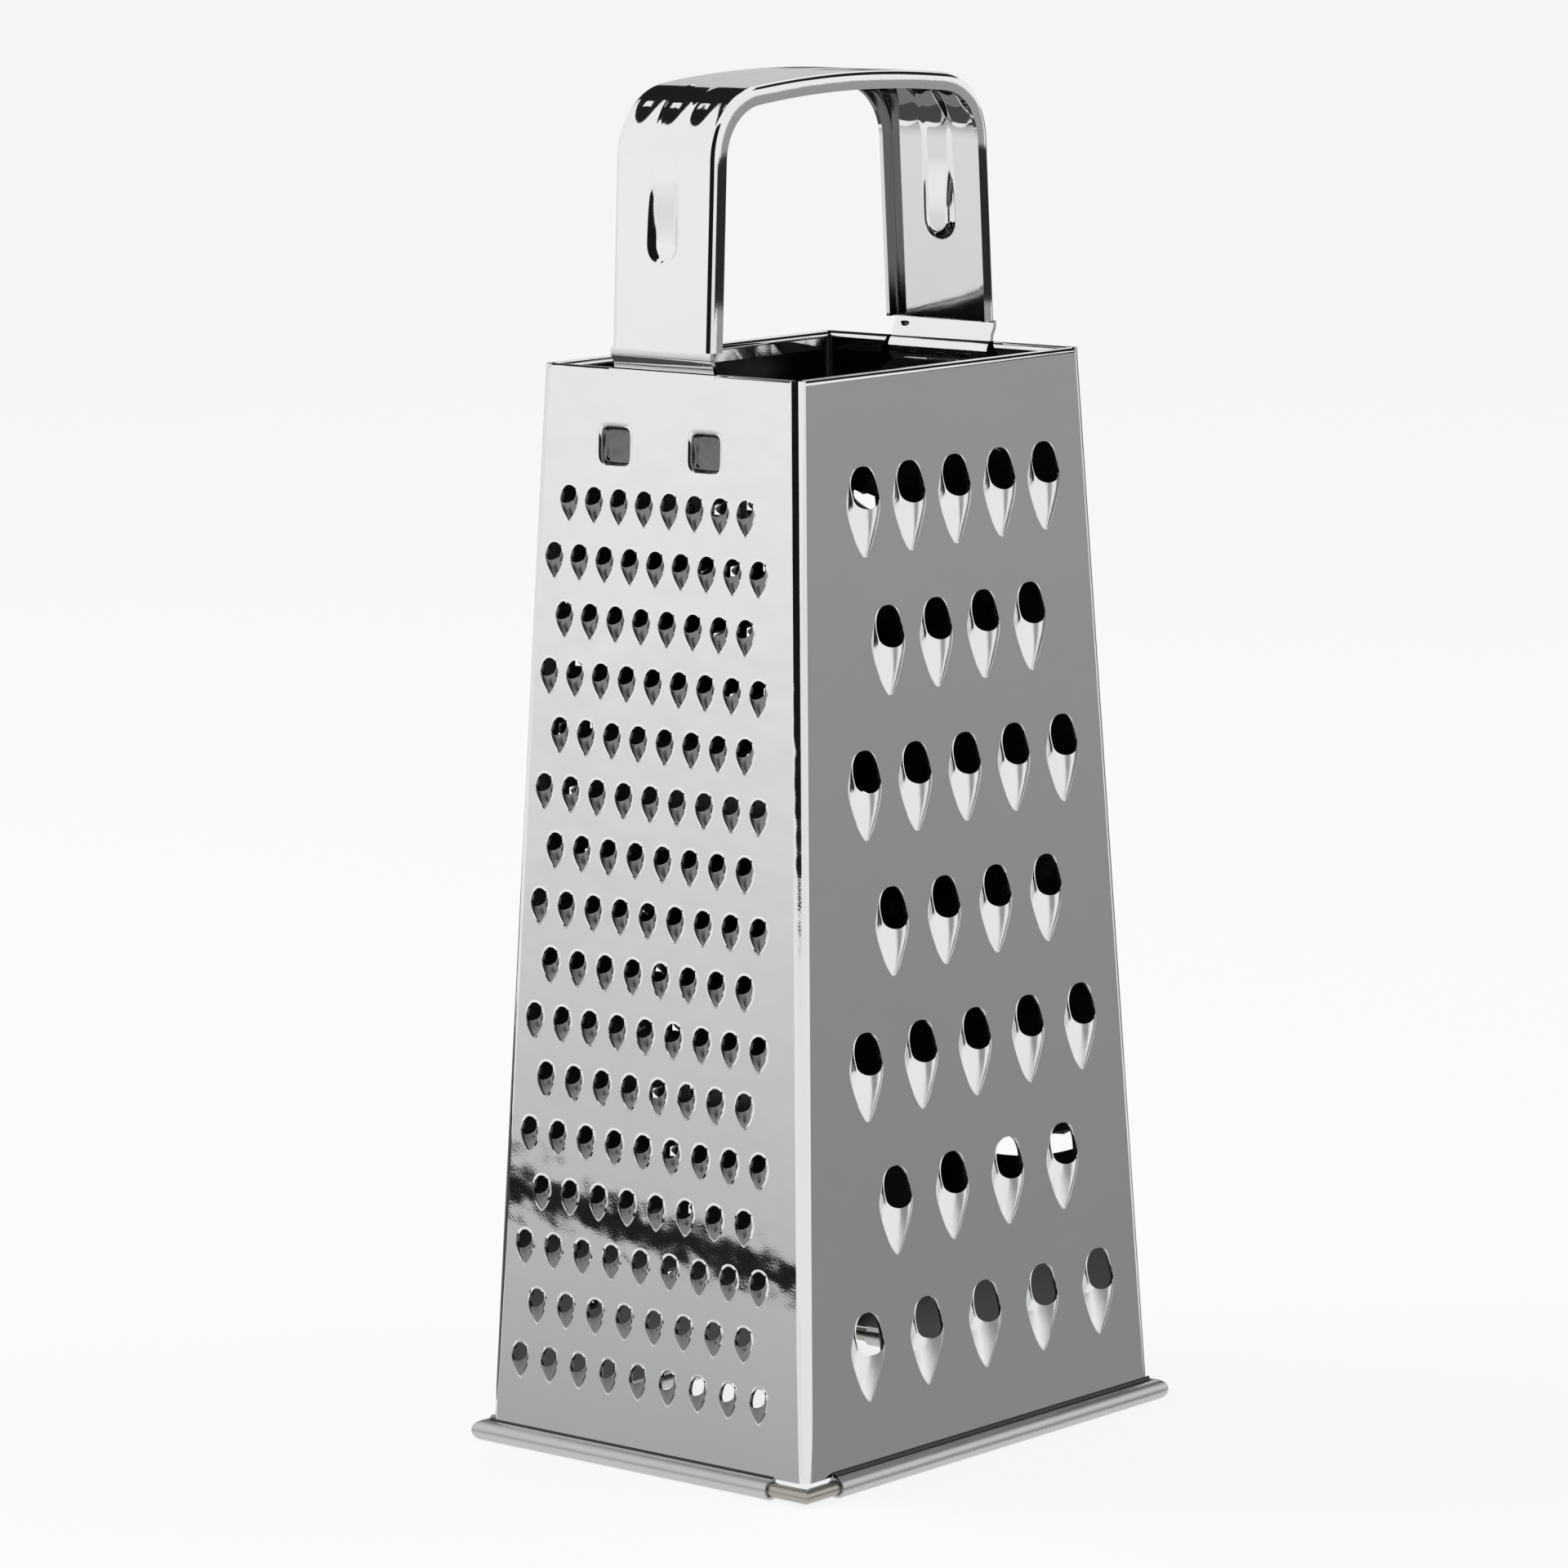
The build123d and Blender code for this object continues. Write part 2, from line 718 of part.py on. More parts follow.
outer = tapered_block(0, 0, body_height - rim_drop, corner_r)
inner = tapered_block(sheet_t, -overrun, body_height + overrun, corner_r - sheet_t)
walls = outer - inner
front_walls = (walls - rear_region(0)).fuse(lap_flange(LEFT), lap_flange(BACK))
nodes = {
    "front_shell": shell((FRONT, RIGHT), front_walls),
    "rear_shell": shell((BACK, LEFT), walls & rear_region(seam_gap)),
    "base_wire": ring_wire(),
    "handle": handle_strap(),
}

os.makedirs("parts", exist_ok=True)
for name, node in nodes.items():
    export_step(node, "parts/" + name + ".step")
    box = node.bounding_box()
    print(name, "solids", len(node.solids()), "volume", round(node.volume), "box", box.min, box.max)
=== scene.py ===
from math import atan2, copysign, cos, hypot, pi, radians, sin, sqrt

import bmesh
import bpy
from mathutils import Matrix, Vector


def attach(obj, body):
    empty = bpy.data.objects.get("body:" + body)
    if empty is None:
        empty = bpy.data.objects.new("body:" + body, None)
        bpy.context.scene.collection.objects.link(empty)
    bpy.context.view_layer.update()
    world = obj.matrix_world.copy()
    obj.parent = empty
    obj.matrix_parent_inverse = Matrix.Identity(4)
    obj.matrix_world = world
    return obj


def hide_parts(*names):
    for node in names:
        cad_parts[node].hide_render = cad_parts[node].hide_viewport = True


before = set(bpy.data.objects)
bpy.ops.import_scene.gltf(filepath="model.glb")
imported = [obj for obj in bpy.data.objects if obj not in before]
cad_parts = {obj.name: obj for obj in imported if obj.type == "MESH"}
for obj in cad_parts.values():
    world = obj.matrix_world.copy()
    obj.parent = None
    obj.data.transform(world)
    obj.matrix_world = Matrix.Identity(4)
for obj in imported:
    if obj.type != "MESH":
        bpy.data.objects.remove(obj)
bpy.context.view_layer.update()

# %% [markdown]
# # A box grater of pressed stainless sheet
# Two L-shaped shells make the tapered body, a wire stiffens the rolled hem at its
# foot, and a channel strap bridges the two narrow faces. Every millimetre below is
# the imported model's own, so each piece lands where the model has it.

MM = 0.001
BODY_HIGH = 190.0
BASE_X, BASE_Y = 74.4, 97.1
TOP_X, TOP_Y = 59.2, 77.7
SHEET = 0.5
CORNER_R = 1.9
WIRE_R = 1.25
ROLL_R = WIRE_R + 0.1 + SHEET
CREASE_Z = 2 * ROLL_R - 0.12
FRONT, RIGHT, BACK, LEFT = -90.0, 0.0, 90.0, 180.0
NARROW = (FRONT, BACK)
WELD = 0.004
SHARP_ANGLE = radians(40)


def add_object(name, data):
    thing = bpy.data.objects.new(name, data)
    bpy.context.scene.collection.objects.link(thing)
    return thing


def mesh_of(work, name):
    """Mesh with the faces of a work mesh, which is then freed."""
    mesh = bpy.data.meshes.new(name)
    work.to_mesh(mesh)
    work.free()
    return mesh


def applied(thing):
    """New mesh of an object with its modifiers applied, which are then cleared."""
    graph = bpy.context.evaluated_depsgraph_get()
    mesh = bpy.data.meshes.new_from_object(thing.evaluated_get(graph), depsgraph=graph)
    thing.modifiers.clear()
    return mesh


def thicken(thing, thickness, **settings):
    """New mesh of a sheet with its wall added inward."""
    thick = thing.modifiers.new("thickness", "SOLIDIFY")
    thick.thickness, thick.offset = thickness * MM, -1
    for name, value in settings.items():
        setattr(thick, name, value)
    return applied(thing)


def shade(mesh):
    """Smooth shading, but for sharp edges and for the triangles that fill flat sheet."""
    mesh.set_sharp_from_angle(angle=SHARP_ANGLE)
    mesh.polygons.foreach_set("use_smooth", [face.loop_total > 3 for face in mesh.polygons])


def half_across(turn, high):
    """Half the width of a face at a height above the base crease."""
    base, top = (BASE_X, TOP_X) if turn in NARROW else (BASE_Y, TOP_Y)
    return (base + (top - base) * high / BODY_HIGH) / 2


def lean_in(turn):
    """How far a face comes in between the crease and the rim."""
    return (BASE_Y - TOP_Y) / 2 if turn in NARROW else (BASE_X - TOP_X) / 2


def up_face(turn, high):
    """Distance up a face's slope for a height above the crease."""
    return high * hypot(BODY_HIGH, lean_in(turn)) / BODY_HIGH


def face_matrix(turn):
    """Place of a face in metres: x across it, y up its slope, z out of its skin."""
    angle = radians(turn)
    out = Vector((cos(angle), sin(angle), 0))
    half_deep = (BASE_Y if turn in NARROW else BASE_X) / 2
    z = (out * BODY_HIGH + Vector((0, 0, lean_in(turn)))).normalized()
    x = Vector((-sin(angle), cos(angle), 0))
    y = z.cross(x)
    place = Matrix((x, y, z)).transposed().to_4x4()
    place.translation = (out * half_deep + Vector((0, 0, CREASE_Z))) * MM
    return place @ Matrix.Scale(MM, 4)


print("narrow face leans", round(lean_in(FRONT), 2), "mm, wide face", round(lean_in(RIGHT), 2), "mm")

# %% [markdown]
# ## The camera
# The view was found by fitting a pinhole camera to the corners of the body, its rim
# and the rows of teeth. The lens is long, so the sides of the body stay almost
# parallel, and it is rolled by half a degree.

# %% Place the camera
VIEW_TURN, VIEW_UP, VIEW_ROLL = 40.70, 8.94, -0.56
VIEW_FAR, AIM_ACROSS, AIM_HIGH = 1249.25, -6.03, 113.01
IMAGE_PIXELS, FOCAL_PIXELS, SENSOR = 1920, 8558.31, 36.0


def toward(turn, up=0):
    """Direction from the object. Its turn is counted from the front to the right."""
    turn, up = radians(turn), radians(up)
    return Vector((sin(turn) * cos(up), -cos(turn) * cos(up), sin(up)))


def aim_camera():
    roll = radians(VIEW_ROLL)
    back, level = toward(VIEW_TURN, VIEW_UP), toward(VIEW_TURN + 90)
    rise = back.cross(level)
    right = cos(roll) * level + sin(roll) * rise
    above = cos(roll) * rise - sin(roll) * level
    place = Matrix((right, above, back)).transposed().to_4x4()
    aim = level * AIM_ACROSS + Vector((0, 0, AIM_HIGH + CREASE_Z))
    place.translation = (aim + back * VIEW_FAR) * MM
    lens = bpy.data.cameras.new("view")
    lens.sensor_width = SENSOR
    lens.lens = FOCAL_PIXELS / IMAGE_PIXELS * SENSOR
    lens.clip_start, lens.clip_end = 0.05, 50
    camera = add_object("view", lens)
    camera.matrix_world = place
    bpy.context.scene.camera = camera
    return camera


camera = aim_camera()
print("lens", round(camera.data.lens, 1), "mm at", [round(v, 3) for v in camera.location])

# %% [markdown]
# ## What every finish shares
# Rolled sheet is never quite flat. Broad, shallow waves bend what it mirrors, and a
# fine grain from the rolls blurs it. One node group gives both, and each finish sets
# how much of them it wants.

# %% Node helpers
def add_node(tree, kind, inputs=(), **settings):
    """Node of a kind, with settings and with inputs given as values or as sockets."""
    node = tree.nodes.new(kind)
    for name, value in settings.items():
        setattr(node, name, value)
    for name, value in dict(inputs).items():
        socket = node.inputs[name]
        if isinstance(value, bpy.types.NodeSocket):
            tree.links.new(value, socket)
        else:
            socket.default_value = value
    return node


def new_group(name, kind, inputs, outputs):
    """Node group with named inputs and outputs, each as (name, kind, value)."""
    group = bpy.data.node_groups.new(name, kind)
    for title, socket, value in inputs:
        made = group.interface.new_socket(title, in_out="INPUT", socket_type=socket)
        if value is not None:
            made.default_value = value
    for title, socket in outputs:
        group.interface.new_socket(title, in_out="OUTPUT", socket_type=socket)
    return group, group.nodes.new("NodeGroupInput"), group.nodes.new("NodeGroupOutput")


def math_node(tree, operation, *values):
    """Math node over values or sockets, giving its output socket."""
    return add_node(tree, "ShaderNodeMath", dict(enumerate(values)), operation=operation).outputs[0]


# %% Rolled sheet as a shader group
FLOAT, COLOR, VECTOR = "NodeSocketFloat", "NodeSocketColor", "NodeSocketVector"
GRAIN_SCALE, SMUDGE_SCALE = 2600.0, 55.0


def rolled_sheet_group():
    group, given, result = new_group(
        "rolled_sheet", "ShaderNodeTree",
        [
            ("Tint", COLOR, (0.8, 0.81, 0.82, 1)),
            ("Smudge", FLOAT, 0.04),
            ("Gloss", FLOAT, 0.12),
            ("Gloss Spread", FLOAT, 0.05),
            ("Wave Height", FLOAT, 0.05),
            ("Wave Scale", FLOAT, 30.0),
            ("Grain Height", FLOAT, 0.002),
        ],
        [("Color", COLOR), ("Roughness", FLOAT), ("Normal", VECTOR)],
    )
    want = given.outputs
    place = add_node(group, "ShaderNodeTexCoord").outputs["Object"]

    def noise(scale, detail):
        inputs = {"Vector": place, "Scale": scale, "Detail": detail}
        return add_node(group, "ShaderNodeTexNoise", inputs).outputs["Fac"]

    def share_of(pattern, title):
        return math_node(group, "MULTIPLY", pattern, want[title])

    waves, grain, smudges = noise(want["Wave Scale"], 1.0), noise(GRAIN_SCALE, 2.0), noise(SMUDGE_SCALE, 5.0)
    color = add_node(group, "ShaderNodeMix", {"Factor": 1.0}, data_type="RGBA", blend_type="MULTIPLY")
    group.links.new(want["Tint"], color.inputs[6])
    group.links.new(math_node(group, "SUBTRACT", 1.0, share_of(smudges, "Smudge")), color.inputs[7])
    rough = math_node(group, "ADD", want["Gloss"], share_of(smudges, "Gloss Spread"))
    height = math_node(group, "ADD", share_of(waves, "Wave Height"), share_of(grain, "Grain Height"))
    bump = add_node(group, "ShaderNodeBump", {"Height": height, "Strength": 1.0, "Distance": MM})
    for title, made in (("Color", color.outputs[2]), ("Roughness", rough), ("Normal", bump.outputs[0])):
        group.links.new(made, result.inputs[title])
    return group


ROLLED_SHEET = rolled_sheet_group()


def new_material(name):
    material = bpy.data.materials.new(name)
    material.use_nodes = True
    return material, material.node_tree, material.node_tree.nodes["Principled BSDF"]


def steel(name, **values):
    """Metal whose colour, roughness and normal come from the rolled-sheet group."""
    material, tree, shader = new_material(name)
    sheet = add_node(tree, "ShaderNodeGroup", node_tree=ROLLED_SHEET)
    for title, value in values.items():
        sheet.inputs[title.replace("_", " ")].default_value = value
    for output, title in (("Color", "Base Color"), ("Roughness", "Roughness"), ("Normal", "Normal")):
        tree.links.new(sheet.outputs[output], shader.inputs[title])
    shader.inputs["Metallic"].default_value = 1.0
    return material


bright_sheet = steel(
    "bright_sheet", Tint=(0.80, 0.81, 0.815, 1), Gloss=0.025, Gloss_Spread=0.025,
    Wave_Height=0.06, Wave_Scale=140.0,
)
# Painted shade: the inside of the shells is the same steel, tinted near black.
inside_shade_sheet = steel("inside_shade_sheet", Tint=(0.07, 0.068, 0.066, 1), Gloss=0.22, Wave_Height=0.1)
strap_steel = steel(
    "strap_steel", Tint=(0.82, 0.83, 0.83, 1), Gloss=0.04, Gloss_Spread=0.03,
    Wave_Height=0.05, Wave_Scale=90.0,
)
# Painted shade for the inner faces of the strap's flanges, which are the same steel.
strap_flange_shade = steel("strap_flange_shade", Tint=(0.16, 0.16, 0.16, 1), Gloss=0.12)
wire_steel = steel("wire_steel", Tint=(0.42, 0.40, 0.36, 1), Gloss=0.25, Grain_Height=0.01)
print("finishes", [m.name for m in (bright_sheet, inside_shade_sheet, strap_steel, strap_flange_shade, wire_steel)])

# %% [markdown]
# ## A punched form
# A die tears the sheet and pushes it out. Whatever it leaves is a ring of metal
# between a flat outline, where the sheet is still untouched, and the torn edge. So
# each form is a stack of loops with the same number of points, from that outline to
# that edge, joined by bands of quads. The outline's edges are marked, so that the
# flat sheet can later be filled up to them.

# %% Loops to a stamp
def bands(work, rows, ring=False):
    """Smooth quads from row to row of points, and round each row if it is a ring."""
    made = [[work.verts.new(point) for point in row] for row in rows]
    count = len(made[0])
    for upper, lower in zip(made, made[1:]):
        for here in range(count if ring else count - 1):
            after = (here + 1) % count
            work.faces.new((upper[here], upper[after], lower[after], lower[here])).smooth = True
    return made


def stamp(name, loops, closed=False):
    """Mesh object of bands between loops in millimetres. Its first loop is marked."""
    work = bmesh.new()
    mark = work.edges.layers.float.new("outline")
    torn = work.verts.layers.float.new("torn")
    rows = bands(work, loops, ring=True)
    for point in () if closed else rows[-1]:
        point[torn] = 1.0
    if closed:
        work.faces.new(rows[-1]).smooth = True
    for here, point in enumerate(rows[0]):
        work.edges.get((rows[0][here - 1], point))[mark] = 1.0
    work.normal_update()
    return bpy.data.objects.new(name, mesh_of(work, name))


def blend_points(first, second, share):
    """Loop part of the way from one loop to another."""
    return [tuple(a + (b - a) * share for a, b in zip(*pair)) for pair in zip(first, second)]


# %% [markdown]
# ## Shredding teeth
# The die draws the sheet out round a slanted oval mouth. The mouth is level with the
# sheet at its top and stands highest at its bottom, where the cutting lip is. From
# the lip a hood runs down, widens a little and is drawn to a rounded tip. One function
# makes both kinds of teeth, which differ only in their sizes.

# %% Fine and coarse teeth
TIP_ROUND, TIP_TAPER, FLARE_START = 0.38, 2.2, 0.3
TOP_INSET, TOP_RING, HOOD_BULGE = 0.3, 1 / 3, 2.1


def angles(points, start=0.5):
    return [2 * pi * (here + start) / points for here in range(points)]


def oval(angle, half, above, below, square):
    """Point of an oval that is squarer above its middle."""
    x, y = cos(angle), sin(angle)
    if y < 0:
        return half * x, below * y
    power = 2 / square
    return half * copysign(abs(x) ** power, x), above * y ** power


def tail(angle, half, reach, flare):
    """Point of the hood's outline below the mouth, drawn to a rounded tip."""
    down = -sin(angle)
    wide = (1 - TIP_ROUND) * (1 - down ** TIP_TAPER) + TIP_ROUND * abs(cos(angle))
    wide *= 1 + flare * min(down / FLARE_START, 1) * (1 - down)
    return copysign(half * wide, cos(angle)), -reach * down


def hood_stamp(
    name, half, hole, lip, reach, rise, margin, halo, flare, inset, square, level, points, shares
):
    """Tooth with its half width, height above, lip set-back, reach below and rise."""
    outer, outline, edge = [], [], []
    for angle in angles(points):
        x, y = oval(angle, half, hole, reach, square)
        if y < 0:
            x, y = tail(angle, half, reach, flare)
        long = hypot(x, y)
        outer.append((x * (1 + margin / long), y * (1 + margin / long), 0))
        outline.append((x, y, halo))
        x, y = oval(angle, half, hole - inset * TOP_RING, lip, square)
        fall = min(max((hole - y) / (hole + lip), 0), 1)
        x *= 1 - inset / half * (TOP_INSET + (1 - TOP_INSET) * fall)
        edge.append((x, y, halo + (rise - halo) * fall ** level))
    loops = [outer, outline]
    for share in shares:
        bulge = 1 - (1 - share) ** HOOD_BULGE
        between = blend_points(outline, edge, share)
        loops.append([
            (x, y, low + (high - low) * bulge)
            for (x, y, _), (_, _, low), (_, _, high) in zip(between, outline, edge)
        ])
    loops.append(edge)
    return stamp(name, loops)


fine_tooth = hood_stamp(
    "fine_tooth", half=1.85, hole=2.1, lip=1.1, reach=4.1, rise=1.25, margin=0.4, halo=0.04,
    flare=0.16, inset=0.16, square=2.2, level=2.6, points=20, shares=(0.12, 0.34, 0.66),
)
coarse_tooth = hood_stamp(
    "coarse_tooth", half=3.85, hole=5.6, lip=1.9, reach=10.4, rise=1.45, margin=0.15, halo=0.0,
    flare=0.16, inset=0.45, square=2.4, level=2.2, points=48, shares=(0.04, 0.11, 0.22, 0.38, 0.56, 0.78),
)
print("fine tooth faces", len(fine_tooth.data.polygons), "coarse", len(coarse_tooth.data.polygons))

# %% [markdown]
# ## Rasp points, slicing slots and pressed squares
# A rasp point is punched by a pyramid: the hole is a square and its torn edge stands
# up in four petals. A slicing slot is bowed like a smile, and its lower lip swells
# out as the blade. The pressed squares are not torn at all: the sheet is pushed into
# the handle's foot behind it, which locks the two together.

# %% Rasp stamp
STAR_HALF, STAR_RISE, STAR_MARGIN, STAR_ROUND = 1.7, 1.5, 0.25, 0.85
PETAL_PULL, CORNER_PULL, PETAL_POINT, TORN_RISE, PETAL_MIDDLE = 0.62, 0.3, 1.1, 0.05, 0.55


def star_stamp(points=24):
    """Square hole with four petals: high in the middle of each side, low at the corners."""
    outer, base, edge = [], [], []
    for angle in angles(points):
        x, y = cos(angle), sin(angle)
        square = 1 / max(abs(x), abs(y))
        rounded = square ** STAR_ROUND
        wide = rounded * (STAR_HALF + STAR_MARGIN)
        outer.append((x * wide, y * wide, 0))
        base.append((x * rounded * STAR_HALF, y * rounded * STAR_HALF, 0))
        corner = (square - 1) / (sqrt(2) - 1)
        near = square * STAR_HALF * (PETAL_PULL + CORNER_PULL * corner)
        lift = STAR_RISE * (1 - corner) ** PETAL_POINT
        edge.append((x * near, y * near, lift + TORN_RISE))
    sag = (1 - PETAL_MIDDLE) / PETAL_MIDDLE
    middle = [(x, y, z * sag) for x, y, z in blend_points(base, edge, PETAL_MIDDLE)]
    return stamp("star_point", [outer, base, middle, edge])


# %% Slot and square stamps
SLOT_HALF_HIGH, BLADE_RISE, BLADE_RUN, BLADE_R, BLADE_MARGIN = 2.15, 2.3, 11.0, 60.0, 6.0
SLOT_END, BASE_WIDE, OUTER_WIDE, BLADE_ROUND = 0.25, 1.01, 1.02, 1.2
BASE_GAP, TOP_GAP, LOW_GAP = 0.05, 0.35, 0.45
SLOT_HEIGHTS = (154.5, 97.0, 39.5)


def slot_stamp(name, half, points=72):
    """Bowed slot, with its blade swelling out of the sheet below it."""
    outer, base, edge = [], [], []
    for angle in angles(points, 0):
        x, y = cos(angle), sin(angle)
        across = x * half
        bow = across ** 2 / (2 * BLADE_R)
        swell = 1 - x * x
        flat = SLOT_HALF_HIGH * swell ** SLOT_END
        if y >= 0:
            edge.append((across, bow + flat, 0))
            base.append((across * BASE_WIDE, bow + flat + BASE_GAP, 0))
            outer.append((across * OUTER_WIDE, bow + flat + TOP_GAP, 0))
        else:
            low = bow - flat - BLADE_RUN * swell
            edge.append((across, bow - flat, BLADE_RISE * swell))
            base.append((across * BASE_WIDE, low - BASE_GAP, 0))
            outer.append((across * OUTER_WIDE, low - LOW_GAP, 0))
    loops = [outer, base]
    for share in (0.12, 0.28, 0.46, 0.64, 0.82):
        rise = sin(share * pi / 2) ** BLADE_ROUND
        loops.append([
            (x, y, top[2] * rise) for (x, y, _), top in zip(blend_points(base, edge, share), edge)
        ])
    loops.append(edge)
    return stamp(name, loops)


CORNER_POWER = 10
# Half width, corner radius and level of each loop, from the sheet down to the floor.
POCKET_STEPS = (
    (4.3, 3.1, 0), (3.55, 2.2, 0), (3.35, 2.0, -0.12), (3.2, 1.9, -0.45), (3.0, 1.8, -0.95),
    (2.85, 1.7, -1.15), (2.55, 1.5, -1.2), (1.2, 0.7, -1.16),
)


def rounded_square(half, radius, level, points=40):
    """Loop round a square with rounded corners, at a level."""
    loop = []
    for angle in angles(points):
        x, y = cos(angle), sin(angle)
        power = 2 + CORNER_POWER * (1 - radius / half)
        size = (abs(x) ** power + abs(y) ** power) ** (-1 / power)
        loop.append((x * size * half, y * size * half, level))
    return loop


def pocket_stamp():
    """Square pressed into the sheet, with a soft shoulder and a sloping wall."""
    return stamp("pocket", [rounded_square(*step) for step in POCKET_STEPS], closed=True)


star_point, pocket = star_stamp(), pocket_stamp()
print("star faces", len(star_point.data.polygons), "pocket faces", len(pocket.data.polygons))

# %% [markdown]
# ## One tree punches every face
# The tree counts out points, numbers them in rows and columns, leaves out the last
# point of each short row and puts the rest in their places on the taper. The stamp
# is placed on each. Then the marked outlines of the stamps, with the outline of the
# face round them, are filled to make the flat sheet, and the two are welded.

# %% The punching tree
FILL_WELD = 0.01


def punching_tree():
    inputs = [(title, "NodeSocketObject", None) for title in ("Stamp", "Face Outline", "Other Forms")]
    inputs += [(title, "NodeSocketInt", 1) for title in ("Rows", "Columns")]
    inputs += [
        (title, FLOAT, 0.0)
        for title in ("Short Row First", "First Height", "Row Pitch", "Half Width Below",
                      "Half Width Slope", "Margin", "Spread", "Offset")
    ]
    inputs.append(("Up Scale", FLOAT, 1.0))
    outputs = [("Geometry", "NodeSocketGeometry")]
    tree, given, result = new_group("punched_face", "GeometryNodeTree", inputs, outputs)
    size = given.outputs

    def sums(operation, *values):
        return math_node(tree, operation, *values)

    number = tree.nodes.new("GeometryNodeInputIndex").outputs[0]
    total = sums("MULTIPLY", size["Rows"], size["Columns"])
    row = sums("FLOOR", sums("DIVIDE", sums("ADD", number, 0.5), size["Columns"]))
    column = sums("SUBTRACT", number, sums("MULTIPLY", row, size["Columns"]))
    odd = sums("MODULO", sums("ADD", row, size["Short Row First"]), 2.0)
    count = sums("SUBTRACT", size["Columns"], odd)
    high = sums("SUBTRACT", size["First Height"], sums("MULTIPLY", row, size["Row Pitch"]))
    half = sums("SUBTRACT", size["Half Width Below"], sums("MULTIPLY", high, size["Half Width Slope"]))
    pitch = sums("MULTIPLY", sums("SUBTRACT", half, size["Margin"]), size["Spread"])
    middle = sums("MULTIPLY", sums("SUBTRACT", count, 1.0), 0.5)
    across = sums("ADD", sums("MULTIPLY", sums("SUBTRACT", column, middle), pitch), size["Offset"])
    up = sums("MULTIPLY", high, size["Up Scale"])
    place = add_node(tree, "ShaderNodeCombineXYZ", {"X": across, "Y": up}).outputs[0]

    def geometry(kind, inputs, **settings):
        return add_node(tree, "GeometryNode" + kind, inputs, **settings).outputs[0]

    def above(value, limit):
        return add_node(
            tree, "FunctionNodeCompare", {0: value, 1: limit}, data_type="FLOAT", operation="GREATER_THAN"
        ).outputs[0]

    def joined(*parts):
        node = tree.nodes.new("GeometryNodeJoinGeometry")
        for part in parts:
            tree.links.new(part, node.inputs[0])
        return node.outputs[0]

    points = geometry("Points", {"Count": total, "Position": place})
    late = above(column, sums("SUBTRACT", count, 0.5))
    kept = geometry("DeleteGeometry", {"Geometry": points, "Selection": late}, domain="POINT")
    form, others, edge = (
        add_node(tree, "GeometryNodeObjectInfo", {"Object": size[title]}, transform_space="ORIGINAL")
        .outputs["Geometry"]
        for title in ("Stamp", "Other Forms", "Face Outline")
    )
    placed = geometry("InstanceOnPoints", {"Points": kept, "Instance": form})
    stamps = joined(geometry("RealizeInstances", {"Geometry": placed}), others)
    marked = above(geometry("InputNamedAttribute", {"Name": "outline"}, data_type="FLOAT"), 0.5)
    loops = geometry("MeshToCurve", {"Mesh": stamps, "Selection": marked})
    curves = joined(loops, geometry("MeshToCurve", {"Mesh": edge}))
    filled = geometry("FillCurve", {"Curve": curves})
    sheet = geometry("SetShadeSmooth", {"Geometry": filled, "Shade Smooth": False})
    welded = geometry("MergeByDistance", {"Geometry": joined(sheet, stamps), "Distance": FILL_WELD})
    alone = geometry("RealizeInstances", {"Geometry": welded})
    finished = geometry("SetMaterial", {"Geometry": alone, "Material": bright_sheet})
    tree.links.new(finished, result.inputs[0])
    return tree


PUNCHING = punching_tree()
print("punching tree nodes", len(PUNCHING.nodes))

# %% [markdown]
# ## The four faces
# Each face is a flat sheet between two bends. Its outline is a trapezium, and on the
# narrow faces it has a tab at the top, where the folded rim stops to let the strap
# through. The tree above fills it round its teeth.

# %% Outlines and forms of a face
FOLD_R, FOLD_DROP, FOLD_MITRE, RIM_DROP = 1.0, 2.3, 2.0, 0.15
SEAM_GAP = 0.12
STRAP_WIDE, STRAP_OFFSET, STRAP_SIDE_GAP = 23.0, 1.6, 0.7
POCKET_SPACING, POCKET_DROP = 20.8, 13.7
SEAM_END = {BACK: -1, LEFT: 1}


def strap_across(turn):
    """Where the strap's middle stands on a narrow face."""
    return -STRAP_OFFSET if turn == FRONT else STRAP_OFFSET


def flat_end(turn, side, high):
    """Where the flat of a face ends on one side: at a bend, or at the seam."""
    gap = SEAM_GAP if SEAM_END.get(turn) == side else 0
    return side * (half_across(turn, high) - CORNER_R - gap)


def face_outline(turn):
    """Closed line of edges round the flat of a face, as a mesh object."""
    top = up_face(turn, BODY_HIGH) - FOLD_R
    high = BODY_HIGH - FOLD_R
    points = [(flat_end(turn, -1, 0), 0, 0), (flat_end(turn, 1, 0), 0, 0)]
    points.append((flat_end(turn, 1, high), top, 0))
    if turn in NARROW:
        gap = STRAP_WIDE / 2 + STRAP_SIDE_GAP
        right, left = strap_across(turn) + gap, strap_across(turn) - gap
        tab = top + FOLD_R - RIM_DROP
        points += [(right, top, 0), (right, tab, 0), (left, tab, 0), (left, top, 0)]
    points.append((flat_end(turn, -1, high), top, 0))
    mesh = bpy.data.meshes.new("face_outline")
    count = len(points)
    mesh.from_pydata(points, [(here, (here + 1) % count) for here in range(count)], [])
    return add_object("face_outline", mesh)


def gather(name, placed):
    """One object out of stamps moved to their places, each as (stamp, x, y)."""
    work = bmesh.new()
    for form, x, y in placed:
        before = len(work.verts)
        work.from_mesh(form.data)
        work.verts.ensure_lookup_table()
        for point in work.verts[before:]:
            point.co += Vector((x, y, 0))
    return add_object(name, mesh_of(work, name))


